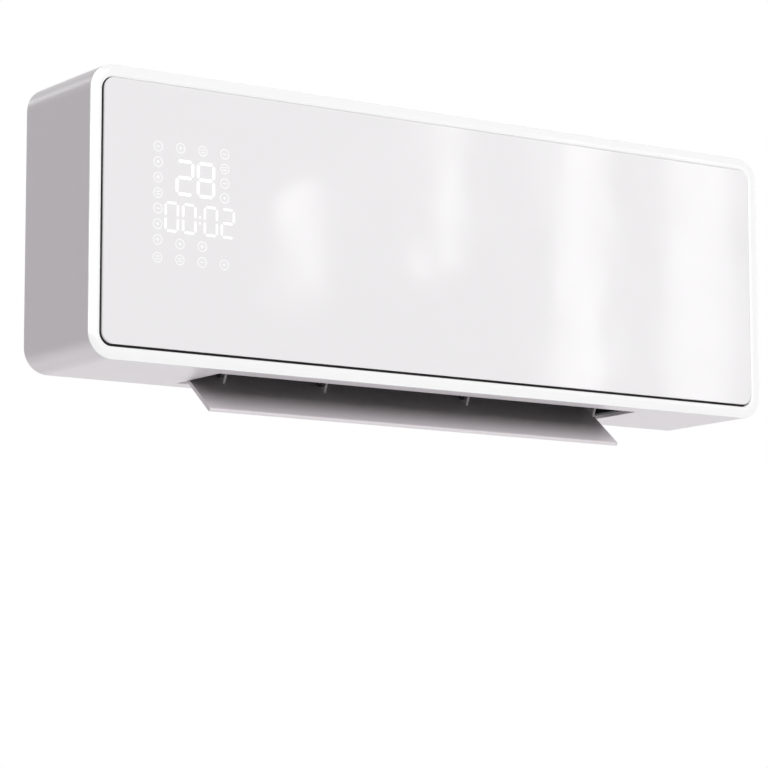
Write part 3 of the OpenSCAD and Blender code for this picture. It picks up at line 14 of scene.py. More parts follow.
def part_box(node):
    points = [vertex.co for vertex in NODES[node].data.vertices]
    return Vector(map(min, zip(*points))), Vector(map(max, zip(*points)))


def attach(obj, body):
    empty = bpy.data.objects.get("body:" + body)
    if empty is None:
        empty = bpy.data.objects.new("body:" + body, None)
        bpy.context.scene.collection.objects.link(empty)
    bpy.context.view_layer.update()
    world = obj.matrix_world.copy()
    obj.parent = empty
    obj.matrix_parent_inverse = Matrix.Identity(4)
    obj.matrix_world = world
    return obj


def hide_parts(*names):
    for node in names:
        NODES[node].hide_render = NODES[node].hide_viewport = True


MM = 0.001

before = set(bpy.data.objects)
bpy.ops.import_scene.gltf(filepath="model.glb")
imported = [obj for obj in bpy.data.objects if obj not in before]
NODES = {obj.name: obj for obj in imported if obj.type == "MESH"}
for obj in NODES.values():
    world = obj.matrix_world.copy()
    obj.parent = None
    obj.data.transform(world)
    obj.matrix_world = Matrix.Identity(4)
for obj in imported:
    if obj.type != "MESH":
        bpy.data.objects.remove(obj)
bpy.context.view_layer.update()


# ---- camera, light and floor ----

# The photograph's viewpoint: place, then heading, pitch and roll in degrees
CAMERA_AT = Vector((-1.24443, -1.83844, -0.39566))
CAMERA_YAW = 34.225
CAMERA_PITCH = 8.0815
CAMERA_ROLL = -0.1136
CAMERA_LENS = 151.16
CAMERA_SENSOR = 36.0

CLOSEST, FARTHEST = 0.05, 50.0

FLOOR_Z = -1.9
FLOOR_SIZE = 9.0
# Glow that lifts the floor to the backdrop's white
FLOOR_LIFT = 0.45
# Even light from all round
AMBIENT = 0.335
# Soft boxes: name, place, point aimed at, width and height, strength
SOFT_BOXES = [
    ("key", (-0.1, -3.3, 1.15), (0, 0, 0), (2.6, 1.7), 5.25),
    ("low_fill", (0.7, -0.6, -1.75), (0.1, 0, 0), (1.8, 1.2), 1.15),
    ("left_low_fill", (-0.9, 2.4, -1.3), (0, 0, 0), (1.5, 1.2), 1.1),
    ("left_high_fill", (-0.7, 2.0, 1.1), (0, 0, 0), (0.5, 0.25), 5.0),
    ("top_fill", (0.4, -0.4, 2.4), (0, 0, 0), (2.2, 1.6), 0.45),
    ("back_fill", (0.6, 3.0, 0.6), (0, 0, 0), (2.4, 1.6), 0.6),
    ("right_fill", (3.2, -0.6, 0.2), (0, 0, 0), (1.6, 1.6), 0.3)]
# Tall narrow boxes in front on the right, whose soft reflections stand in the glossy pane:
# place across and up, width and height, strength
STREAKS = [(1.435, 0.53, 0.05, 0.16, 2.2), (1.706, 0.66, 0.04, 0.3, 2.3),
           (1.987, 0.68, 0.085, 0.7, 2.1), (2.246, 0.66, 0.12, 0.8, 1.8)]
STREAK_Y = -2.5
STREAK_AIM = (-1.6, -0.5)


def make_camera():
    """The photograph's camera."""
    yaw, pitch, roll = (math.radians(a) for a in (CAMERA_YAW, CAMERA_PITCH, CAMERA_ROLL))
    flat = math.cos(pitch)
    ahead = Vector((math.sin(yaw) * flat, math.cos(yaw) * flat, math.sin(pitch)))
    level = Vector((math.cos(yaw), -math.sin(yaw), 0.0))
    above = level.cross(ahead)
    right = math.cos(roll) * level + math.sin(roll) * above
    up = -math.sin(roll) * level + math.cos(roll) * above
    data = bpy.data.cameras.new("camera")
    data.lens = CAMERA_LENS
    data.sensor_width = CAMERA_SENSOR
    data.clip_start = CLOSEST
    data.clip_end = FARTHEST
    camera = bpy.data.objects.new("camera", data)
    turn = Matrix((right, up, -ahead)).transposed().to_4x4()
    camera.matrix_world = Matrix.Translation(CAMERA_AT) @ turn
    bpy.context.scene.collection.objects.link(camera)
    bpy.context.scene.camera = camera


def make_softbox(name, at, aim, size, strength):
    """Area light at a point, facing another, whose face has the given radiance."""
    data = bpy.data.lights.new(name, "AREA")
    data.shape = "RECTANGLE"
    data.size, data.size_y = size
    data.energy = strength * math.pi * size[0] * size[1]
    lamp = bpy.data.objects.new(name, data)
    facing = (Vector(aim) - Vector(at)).to_track_quat("-Z", "Y").to_matrix().to_4x4()
    lamp.matrix_world = Matrix.Translation(Vector(at)) @ facing
    bpy.context.scene.collection.objects.link(lamp)


def make_world():
    """Even light; the camera, reflections and refractions see plain white."""
    world = bpy.data.worlds.new("studio")
    bpy.context.scene.world = world
    world.use_nodes = True
    nodes, links = world.node_tree.nodes, world.node_tree.links
    nodes.clear()
    out = nodes.new("ShaderNodeOutputWorld")
    rays = nodes.new("ShaderNodeLightPath").outputs
    seen = maths(world.node_tree, "MAXIMUM", rays["Is Camera Ray"], rays["Is Glossy Ray"])
    seen = maths(world.node_tree, "MAXIMUM", seen, rays["Is Transmission Ray"])
    pick = nodes.new("ShaderNodeMixShader")
    links.new(seen, pick.inputs[0])
    for k, strength in ((1, AMBIENT), (2, 1.0)):
        sky = nodes.new("ShaderNodeBackground")
        sky.inputs["Color"].default_value = (1, 1, 1, 1)
        sky.inputs["Strength"].default_value = strength
        links.new(sky.outputs[0], pick.inputs[k])
    links.new(pick.outputs[0], out.inputs["Surface"])


def make_studio():
    """Light all round, soft boxes, and a plain pale floor."""
    make_world()
    for name, at, aim, size, strength in SOFT_BOXES:
        make_softbox(name, at, aim, size, strength)
    for k, (x, z, wide, tall, strength) in enumerate(STREAKS):
        aim = (x + STREAK_AIM[0], 0, z + STREAK_AIM[1])
        make_softbox(f"streak_{k}", (x, STREAK_Y, z), aim, (wide, tall), strength)
    mesh = bpy.data.meshes.new("floor")
    half = FLOOR_SIZE / 2
    corners = [(-half, -half), (half, -half), (half, half), (-half, half)]
    mesh.from_pydata([(x, y, FLOOR_Z) for x, y in corners], [], [(0, 1, 2, 3)])
    floor = bpy.data.objects.new("floor", mesh)
    bpy.context.scene.collection.objects.link(floor)
    mesh.materials.append(floor_paint())


# ---- short ways to add and join nodes ----

def feed(tree, socket, value):
    """Links a socket to another, or sets its number."""
    if isinstance(value, bpy.types.NodeSocket):
        tree.links.new(value, socket)
    else:
        socket.default_value = value


def place_at(tree):
    """The point's own coordinates on its piece."""
    return tree.nodes.new("ShaderNodeTexCoord").outputs["Object"]


def maths(tree, operation, *values):
    node = tree.nodes.new("ShaderNodeMath")
    node.operation = operation
    for socket, value in zip(node.inputs, values):
        feed(tree, socket, value)
    return node.outputs[0]


def noise(tree, vector, scale, detail=2.0):
    node = tree.nodes.new("ShaderNodeTexNoise")
    tree.links.new(vector, node.inputs["Vector"])
    feed(tree, node.inputs["Scale"], scale)
    node.inputs["Detail"].default_value = detail
    return node.outputs["Fac"]


def spread(tree, value, low, high, start=0.0, end=1.0):
    """Maps a value between start and end onto the range from low to high."""
    node = tree.nodes.new("ShaderNodeMapRange")
    bounds = {"Value": value, "From Min": start, "From Max": end, "To Min": low, "To Max": high}
    for label, bound in bounds.items():
        feed(tree, node.inputs[label], bound)
    return node.outputs["Result"]


# Where a Mix node keeps its share and its two colours, and its mixed colour
MIX_INPUTS = (0, 6, 7)
MIX_OUTPUT = 2


def blended(tree, share, color, other):
    """One colour where share is 0, the other where it is 1."""
    node = tree.nodes.new("ShaderNodeMix")
    node.data_type = "RGBA"
    for k, value in zip(MIX_INPUTS, (share, color, other)):
        feed(tree, node.inputs[k], value)
    return node.outputs[MIX_OUTPUT]


def axes(tree, vector):
    """A vector's X, Y and Z."""
    node = tree.nodes.new("ShaderNodeSeparateXYZ")
    tree.links.new(vector, node.inputs[0])
    return node.outputs


def turned_flat(tree, vector):
    """X and Z as a flat pattern's X and Y."""
    split = axes(tree, vector)
    join = tree.nodes.new("ShaderNodeCombineXYZ")
    tree.links.new(split["X"], join.inputs["X"])
    tree.links.new(split["Z"], join.inputs["Y"])
    return join.outputs[0]


def grey(tree, level):
    """A value as a grey colour."""
    node = tree.nodes.new("ShaderNodeCombineColor")
    for socket in node.inputs:
        tree.links.new(level, socket)
    return node.outputs[0]


def scaled(tree, color, factor):
    """A colour times a value."""
    node = tree.nodes.new("ShaderNodeVectorMath")
    node.operation = "SCALE"
    tree.links.new(color, node.inputs[0])
    tree.links.new(factor, node.inputs["Scale"])
    return node.outputs["Vector"]


def bump(tree, height, strength, distance):
    node = tree.nodes.new("ShaderNodeBump")
    tree.links.new(height, node.inputs["Height"])
    feed(tree, node.inputs["Strength"], strength)
    node.inputs["Distance"].default_value = distance
    return node.outputs["Normal"]


# ---- shader node groups ----

def new_group(name, inputs, outputs):
    """Empty shader group, the sockets that it is given and the sockets of its result."""
    group = bpy.data.node_groups.new(name, "ShaderNodeTree")
    kinds = {"c": "NodeSocketColor", "f": "NodeSocketFloat", "v": "NodeSocketVector"}
    for label, kind, value in inputs:
        socket = group.interface.new_socket(label, in_out="INPUT", socket_type=kinds[kind])
        socket.default_value = value
    for label, kind in outputs:
        group.interface.new_socket(label, in_out="OUTPUT", socket_type=kinds[kind])
    given = group.nodes.new("NodeGroupInput").outputs
    return group, given, group.nodes.new("NodeGroupOutput").inputs


# Scales of the soft clouds in moulded plastic and of the scuffs on sheet
CLOUD_SCALE, SCUFF_SCALE = 22.0, 900.0
# How much rougher a surface gets where its cloud or its patch is palest
CLOUD_ROUGHER, PATCH_ROUGHER = 0.08, 0.15
# Heights that a grain and a line of full strength stand for
GRAIN_RISE, LINE_RISE = 0.2 * MM, 0.3 * MM


def moulded_group():
    """Injection-moulded plastic: faint flow mottling and a fine spark-eroded grain."""
    group, given, result = new_group("moulded_skin", [
        ("Colour", "c", (0.8, 0.8, 0.8, 1)), ("Mottle", "f", 0.02), ("Roughness", "f", 0.4),
        ("Grain", "f", 0.1), ("Grain Scale", "f", 2500.0)],
        [("Colour", "c"), ("Roughness", "f"), ("Normal", "v")])
    at = place_at(group)
    cloud = noise(group, at, CLOUD_SCALE, 3.0)
    fine = noise(group, at, given["Grain Scale"], 1.0)
    shade = spread(group, cloud, maths(group, "SUBTRACT", 1.0, given["Mottle"]), 1.0)
    rougher = maths(group, "MULTIPLY_ADD", cloud, CLOUD_ROUGHER, given["Roughness"])
    group.links.new(scaled(group, given["Colour"], shade), result["Colour"])
    group.links.new(rougher, result["Roughness"])
    group.links.new(bump(group, fine, given["Grain"], GRAIN_RISE), result["Normal"])
    return group


def spangle_group():
    """Galvanised or rolled sheet: crystal patches of slightly different grey."""
    group, given, result = new_group("zinc_spangle", [
        ("Colour", "c", (0.7, 0.7, 0.7, 1)), ("Patch Scale", "f", 120.0), ("Contrast", "f", 0.15),
        ("Roughness", "f", 0.35)], [("Colour", "c"), ("Roughness", "f"), ("Normal", "v")])
    at = place_at(group)
    cells = group.nodes.new("ShaderNodeTexVoronoi")
    group.links.new(at, cells.inputs["Vector"])
    group.links.new(given["Patch Scale"], cells.inputs["Scale"])
    patch = group.nodes.new("ShaderNodeSeparateColor")
    group.links.new(cells.outputs["Color"], patch.inputs[0])
    shade = spread(group, patch.outputs[0], maths(group, "SUBTRACT", 1.0, given["Contrast"]), 1.0)
    rougher = maths(group, "MULTIPLY_ADD", patch.outputs[1], PATCH_ROUGHER, given["Roughness"])
    scuffs = noise(group, at, SCUFF_SCALE)
    group.links.new(scaled(group, given["Colour"], shade), result["Colour"])
    group.links.new(rougher, result["Roughness"])
    group.links.new(bump(group, scuffs, 0.05, GRAIN_RISE), result["Normal"])
    return group


def striped_group():
    """Fine lines across one direction: turning marks, laminations, wound wire or ribs."""
    group, given, result = new_group("fine_lines", [
        ("Colour", "c", (0.6, 0.6, 0.6, 1)), ("Line Colour", "c", (0.3, 0.3, 0.3, 1)),
        ("Direction", "v", (1.0, 0.0, 0.0)), ("Line Scale", "f", 800.0), ("Depth", "f", 0.3)],
        [("Colour", "c"), ("Normal", "v")])
    along = group.nodes.new("ShaderNodeVectorMath")
    along.operation = "DOT_PRODUCT"
    group.links.new(place_at(group), along.inputs[0])
    group.links.new(given["Direction"], along.inputs[1])
    place = group.nodes.new("ShaderNodeCombineXYZ")
    group.links.new(along.outputs["Value"], place.inputs[0])
    wave = group.nodes.new("ShaderNodeTexWave")
    group.links.new(place.outputs[0], wave.inputs["Vector"])
    group.links.new(given["Line Scale"], wave.inputs["Scale"])
    lines = wave.outputs["Fac"]
    group.links.new(blended(group, lines, given["Line Colour"], given["Colour"]), result["Colour"])
    group.links.new(bump(group, lines, given["Depth"], LINE_RISE), result["Normal"])
    return group


MOULDED = moulded_group()
SPANGLE = spangle_group()
LINES = striped_group()


# ---- materials ----

def new_material(name, metallic=0.0, **sockets):
    """Material with a Principled BSDF whose constant values sit on its own sockets."""
    material = bpy.data.materials.new(name)
    material.use_nodes = True
    tree = material.node_tree
    shader = tree.nodes["Principled BSDF"]
    shader.inputs["Metallic"].default_value = metallic
    for label, value in sockets.items():
        shader.inputs[label.replace("_", " ")].default_value = value
    return material, tree, shader


def place_group(tree, group, **values):
    """Outputs of a group placed in a material with its own values."""
    node = tree.nodes.new("ShaderNodeGroup")
    node.node_tree = group
    for label, value in values.items():
        node.inputs[label.replace("_", " ")].default_value = value
    return node.outputs


def wear(tree, shader, skin):
    """Feeds what a group puts out to the sockets of the shader that it is for."""
    for label in skin.keys():
        target = "Base Color" if label == "Colour" else label
        tree.links.new(skin[label], shader.inputs[target])


def moulding(name, color, roughness, mottle=0.02, grain=0.12, grain_scale=2500.0, **sockets):
    """Moulded plastic, or another part with a fine even grain."""
    material, tree, shader = new_material(name, **sockets)
    wear(tree, shader, place_group(tree, MOULDED, Colour=(*color, 1), Mottle=mottle,
                                   Roughness=roughness, Grain=grain, Grain_Scale=grain_scale))
    return material


def sheet_metal(name, color, roughness=0.32, patch_scale=140.0, contrast=0.16):
    """Zinc-coated or bright steel sheet."""
    material, tree, shader = new_material(name, metallic=1.0)
    wear(tree, shader, place_group(tree, SPANGLE, Colour=(*color, 1), Patch_Scale=patch_scale,
                                   Contrast=contrast, Roughness=roughness))
    return material


def lined(name, color, line_color, direction, line_scale, depth):
    """Metal with fine lines that follow each other along a direction."""
    material, tree, shader = new_material(name, metallic=1.0, Roughness=0.35)
    wear(tree, shader, place_group(tree, LINES, Colour=(*color, 1), Line_Colour=(*line_color, 1),
                                   Direction=direction, Line_Scale=line_scale, Depth=depth))
    return material


# The part's front, and the depths behind it between which painted shade darkens the pane's rim,
# standing in for the shadow in the gap round the pane
FRONT_Y = -86 * MM
SHADE_CLEAR_DEPTH, SHADE_FULL_DEPTH = 1.3 * MM, 2.1 * MM
# Colour of the painted shade on the pane's rim, for the shadow in the gap beside the frame
PAINTED_GAP_SHADE = (0.09, 0.086, 0.09, 1)
WAVE_SCALE, WAVE_RISE = 13.0, 0.3 * MM


def glossy_pane(name, color):
    """Pale polished pane, very slightly wavy; painted shade darkens its rim towards its back, for
    the shadow in the gap round it.
    """
    material, tree, shader = new_material(name, IOR=1.5, Specular_IOR_Level=0.85)
    skin = place_group(tree, MOULDED, Colour=(*color, 1), Mottle=0.004, Roughness=0.03, Grain=0.0)
    at = place_at(tree)
    depth = axes(tree, at)["Y"]
    # Painted shade: the pane's rim turns dark with depth, standing in for the shadow in the gap
    gap_shade = spread(tree, depth, 0.0, 1.0, FRONT_Y + SHADE_CLEAR_DEPTH, FRONT_Y + SHADE_FULL_DEPTH)
    tree.links.new(blended(tree, gap_shade, skin["Colour"], PAINTED_GAP_SHADE), shader.inputs["Base Color"])
    tree.links.new(skin["Roughness"], shader.inputs["Roughness"])
    waves = noise(tree, at, WAVE_SCALE, 1.5)
    tree.links.new(bump(tree, waves, 1.0, WAVE_RISE), shader.inputs["Normal"])
    return material


def glowing(name, dim, bright):
    """Milky inlay of the display, unevenly lit from behind."""
    material, tree, shader = new_material(name, Roughness=0.08, Coat_Weight=1.0,
                                          Coat_Roughness=0.03)
    cloud = noise(tree, place_at(tree), 160.0)
    tree.links.new(spread(tree, cloud, 0.93, 1.0), shader.inputs["Base Color"])
    tree.links.new(grey(tree, spread(tree, cloud, dim, bright)), shader.inputs["Emission Color"])
    shader.inputs["Emission Strength"].default_value = 1.0
    return material


def circuit_board(name):
    """Green solder mask over copper tracks and pads."""
    material, tree, shader = new_material(name, Coat_Weight=0.4, Coat_Roughness=0.2)
    at = place_at(tree)
    tracks = tree.nodes.new("ShaderNodeTexBrick")
    tree.links.new(turned_flat(tree, at), tracks.inputs["Vector"])
    tracks.inputs["Scale"].default_value = 90.0
    tracks.inputs["Color1"].default_value = (0.012, 0.11, 0.045, 1)
    tracks.inputs["Color2"].default_value = (0.016, 0.15, 0.06, 1)
    tracks.inputs["Mortar"].default_value = (0.03, 0.24, 0.1, 1)
    tracks.inputs["Mortar Size"].default_value = 0.035
    tree.links.new(tracks.outputs["Color"], shader.inputs["Base Color"])
    tree.links.new(spread(tree, noise(tree, at, 300.0), 0.3, 0.5), shader.inputs["Roughness"])
    tree.links.new(bump(tree, tracks.outputs["Fac"], 0.2, 0.1 * MM), shader.inputs["Normal"])
    return material


def floor_paint():
    """Pale paint; the camera and reflections see it as bright as the backdrop, with its shadow."""
    material, tree, shader = new_material("floor_paint", Roughness=0.6)
    pale = spread(tree, noise(tree, place_at(tree), 3.0), 0.9, 0.93)
    tree.links.new(grey(tree, pale), shader.inputs["Base Color"])
    shader.inputs["Emission Color"].default_value = (1, 1, 1, 1)
    rays = tree.nodes.new("ShaderNodeLightPath").outputs
    seen = maths(tree, "MAXIMUM", rays["Is Camera Ray"], rays["Is Glossy Ray"])
    tree.links.new(maths(tree, "MULTIPLY", seen, FLOOR_LIFT), shader.inputs["Emission Strength"])
    return material


def make_finishes():
    """One material for each slot of the record."""
    satin = dict(roughness=0.3, mottle=0.015, grain=0.08)
    return {
        "casing_white": moulding("casing_white", (0.86, 0.813, 0.85), **satin),
        "cover_white": moulding("cover_white", (0.82, 0.82, 0.81), 0.5, grain=0.3,
                                grain_scale=1600.0),
        "frame_white": moulding("frame_white", (0.94, 0.94, 0.94), 0.12, mottle=0.01, grain=0.0,
                                Coat_Weight=0.6, Coat_Roughness=0.05),
        "pane_glass": glossy_pane("pane_glass", (0.84, 0.825, 0.838)),
        # Near-black foam tape under the pane; where it lines the gap round the pane it is a dark
        # sheet standing in for painted shade
        "tape_grey": moulding("tape_grey", (0.05, 0.048, 0.05), 0.9, mottle=0.2, grain=0.8,
                              grain_scale=1800.0),
        "window_glow": glowing("window_glow", 0.14, 0.26),
        "guide_white": moulding("guide_white", (0.8, 0.8, 0.78), 0.5),
        "board_green": circuit_board("board_green"),
        "led_body": moulding("led_body", (0.85, 0.78, 0.45), 0.25),
        "screw_steel": lined("screw_steel", (0.66, 0.66, 0.67), (0.5, 0.5, 0.51),
                             (0, 0, 1), 1500.0, 0.1),
        "bracket_steel": sheet_metal("bracket_steel", (0.6, 0.61, 0.62)),
        "black_plastic": moulding("black_plastic", (0.012, 0.012, 0.013), 0.55, mottle=0.3,
                                  grain=0.25),
        "black_part": moulding("black_part", (0.012, 0.012, 0.014), 0.22, mottle=0.2),
        "grey_plastic": moulding("grey_plastic", (0.09, 0.092, 0.095), 0.45, mottle=0.1, grain=0.2),
        "grille_white": moulding("grille_white", (0.86, 0.813, 0.85), **satin),
        "mesh_grey": moulding("mesh_grey", (0.14, 0.16, 0.19), 0.7, mottle=0.2, grain=0.5),
        "plate_steel": sheet_metal("plate_steel", (0.62, 0.63, 0.64), 0.36, 90.0, 0.2),
        "fan_plastic": moulding("fan_plastic", (0.022, 0.022, 0.025), 0.5, mottle=0.3, grain=0.3),
        "bronze": moulding("bronze", (0.36, 0.2, 0.07), 0.45, mottle=0.3, grain=0.4, metallic=1.0),
        "rubber_black": moulding("rubber_black", (0.014, 0.014, 0.014), 0.8, mottle=0.3, grain=0.4),
        "shaft_steel": lined("shaft_steel", (0.68, 0.68, 0.69), (0.52, 0.52, 0.53),
                             (1, 0, 0), 2500.0, 0.08),
        "core_steel": lined("core_steel", (0.28, 0.28, 0.29), (0.06, 0.06, 0.06),
                            (1, 0, 0), 620.0, 0.5),
        "winding_copper": lined("winding_copper", (0.5, 0.17, 0.06), (0.2, 0.05, 0.02),
                                (1, 0, 0), 700.0, 0.8),
        "motor_steel": sheet_metal("motor_steel", (0.6, 0.6, 0.61), 0.28, 400.0, 0.05),
        "fin_aluminium": lined("fin_aluminium", (0.8, 0.8, 0.81), (0.66, 0.66, 0.67),
                               (0, 0, 1), 900.0, 0.1),
        "stone_ceramic": moulding("stone_ceramic", (0.06, 0.045, 0.04), 0.7, mottle=0.3, grain=0.5),
        "terminal_brass": lined("terminal_brass", (0.7, 0.52, 0.22), (0.6, 0.42, 0.17),
                                (0, 0, 1), 1500.0, 0.08),
        "cutout_ceramic": moulding("cutout_ceramic", (0.72, 0.69, 0.6), 0.55, mottle=0.1,
                                   grain=0.3),
        "flap_white": moulding("flap_white", (0.745, 0.698, 0.725), 0.32, mottle=0.02, grain=0.08),
        "relay_blue": moulding("relay_blue", (0.02, 0.07, 0.28), 0.35, mottle=0.1),
        "supply_yellow": moulding("supply_yellow", (0.62, 0.42, 0.05), 0.3, mottle=0.1),
        "socket_ivory": moulding("socket_ivory", (0.76, 0.7, 0.56), 0.4, mottle=0.05),
        "terminal_white": moulding("terminal_white", (0.8, 0.79, 0.76), 0.45, mottle=0.03),
        "lead_brown": moulding("lead_brown", (0.09, 0.03, 0.012), 0.4, mottle=0.1),
        "lead_red": moulding("lead_red", (0.42, 0.02, 0.015), 0.45, mottle=0.1),
        "lead_black": moulding("lead_black", (0.012, 0.012, 0.012), 0.4, mottle=0.2),
        "lead_grey": moulding("lead_grey", (0.4, 0.4, 0.4), 0.4, mottle=0.05),
    }


def finish_nodes(finishes):
    """Gives every CAD node the material of its slot; the ring marks are the fainter ones."""
    for piece in NODES.values():
        for slot in piece.material_slots:
            slot.material = finishes[slot.material.name.split(".")[0]]
    for slot in NODES["icon_windows"].material_slots:
        slot.material = glowing("mark_glow", 0.015, 0.06)


# ---- pieces grown by geometry nodes ----

SOCKETS = {"float": "NodeSocketFloat", "vector": "NodeSocketVector",
           "material": "NodeSocketMaterial"}
# Points closer than this are one: in a made piece, in a CAD solid and in a folded sheet
WELD, SAME_CORNER, SAME_FOLD = 0.002 * MM, 0.01 * MM, 0.001 * MM


class Form:
    """Geometry tree under construction, with short ways to add and join its nodes."""

    def __init__(self, name, **inputs):
        self.tree = bpy.data.node_groups.new(name, "GeometryNodeTree")
        sockets = self.tree.interface
        sockets.new_socket("Base", in_out="INPUT", socket_type="NodeSocketGeometry")
        for label, kind in inputs.items():
            sockets.new_socket(label.replace("_", " "), in_out="INPUT", socket_type=SOCKETS[kind])
        sockets.new_socket("Piece", in_out="OUTPUT", socket_type="NodeSocketGeometry")
        self.given = self.tree.nodes.new("NodeGroupInput").outputs
        self.result = self.tree.nodes.new("NodeGroupOutput").inputs

    def node(self, kind, settings=None, **inputs):
        node = self.tree.nodes.new(kind)
        for label, value in (settings or {}).items():
            setattr(node, label, value)
        for label, value in inputs.items():
            feed(self.tree, node.inputs[label.replace("_", " ")], value)
        return node

    def math(self, operation, *values):
        return maths(self.tree, operation, *values)

    def plus(self, a, b):
        return self.math("ADD", a, b)

    def minus(self, a, b):
        return self.math("SUBTRACT", a, b)

    def times(self, a, b):
        return self.math("MULTIPLY", a, b)

    def over(self, a, b):
        return self.math("DIVIDE", a, b)

    def vector(self, x=0.0, y=0.0, z=0.0):
        return self.node("ShaderNodeCombineXYZ", X=x, Y=y, Z=z).outputs[0]

    def place(self):
        """X, Y and Z of each point."""
        return axes(self.tree, self.tree.nodes.new("GeometryNodeInputPosition").outputs[0])

    def moved(self, mesh, place):
        return self.node("GeometryNodeTransform", Geometry=mesh, Translation=place).outputs[0]

    def joined(self, *parts):
        node = self.tree.nodes.new("GeometryNodeJoinGeometry")
        for part in parts:
            self.tree.links.new(part, node.inputs[0])
        return node.outputs[0]

    def on_base(self, shape, **inputs):
        """One copy of a shape on each base point."""
        return self.node("GeometryNodeInstanceOnPoints", Points=self.given["Base"],
                         Instance=shape, **inputs).outputs[0]

    def finish(self, mesh):
        real = self.node("GeometryNodeRealizeInstances", Geometry=mesh)
        painted = self.node("GeometryNodeSetMaterial", Geometry=real.outputs[0],
                            Material=self.given["Material"])
        self.tree.links.new(painted.outputs[0], self.result[0])
        return self.tree


def grown(name, tree, points, edges=(), **sizes):
    """Plain mesh that a tree makes from base points and its named sizes."""
    base = bpy.data.meshes.new(name)
    base.from_pydata(points, edges, [])
    piece = bpy.data.objects.new(name, base)
    bpy.context.scene.collection.objects.link(piece)
    form = piece.modifiers.new("form", "NODES")
    form.node_group = tree
    for socket in tree.interface.items_tree:
        label = socket.name.replace(" ", "_")
        if socket.in_out == "INPUT" and label in sizes:
            form[socket.identifier] = sizes[label]
    solid = piece.evaluated_get(bpy.context.evaluated_depsgraph_get())
    mesh = bpy.data.meshes.new_from_object(solid)
    bpy.data.objects.remove(piece)
    mesh.name = name
    return mesh


def welded(name, meshes, flat=40.0):
    """One object from several meshes, merged, facing outwards and smooth up to an angle."""
    whole = bmesh.new()
    for mesh in meshes:
        whole.from_mesh(mesh)
    bmesh.ops.remove_doubles(whole, verts=whole.verts, dist=WELD)
    bmesh.ops.recalc_face_normals(whole, faces=whole.faces)
    mesh = bpy.data.meshes.new(name)
    whole.to_mesh(mesh)
    whole.free()
    for material in meshes[0].materials:
        mesh.materials.append(material)
    mesh.polygons.foreach_set("use_smooth", [True] * len(mesh.polygons))
    mesh.set_sharp_from_angle(angle=math.radians(flat))
    piece = bpy.data.objects.new(name, mesh)
    bpy.context.scene.collection.objects.link(piece)
    return piece


# ---- screws ----

SCREW = {"Head_Radius": 2.9 * MM, "Head_Height": 1.3 * MM, "Shank_Radius": 1.45 * MM,
         "Thread_Pitch": 1.1 * MM, "Thread_Depth": 0.32 * MM, "Recess_Width": 0.75 * MM}
SMALL_SCREW = {"Head_Radius": 2.0 * MM, "Head_Height": 0.9 * MM, "Shank_Radius": 1.08 * MM,
               "Thread_Pitch": 0.8 * MM, "Thread_Depth": 0.22 * MM, "Recess_Width": 0.5 * MM}
# A screw whose head is narrower than this has the small form
SMALL_HEAD = 5 * MM
# The head's wall leans in by this much up to its crown, as shares of the head's height
HEAD_LEAN = math.radians(52)
HEAD_WALL, HEAD_CROWN = 0.98, 0.22
# Length and depth of the recess as shares of the head's radius and height
RECESS_SPAN, RECESS_DEPTH = 1.15, 1.3
# The shank starts this share of its length inside the head
SHANK_FROM = 0.499
RINGS_PER_TURN = 4.0
# The point is this many shank radii long, and its end this share of the shank's radius
TIP_LONG, TIP_END = 1.6, 0.3


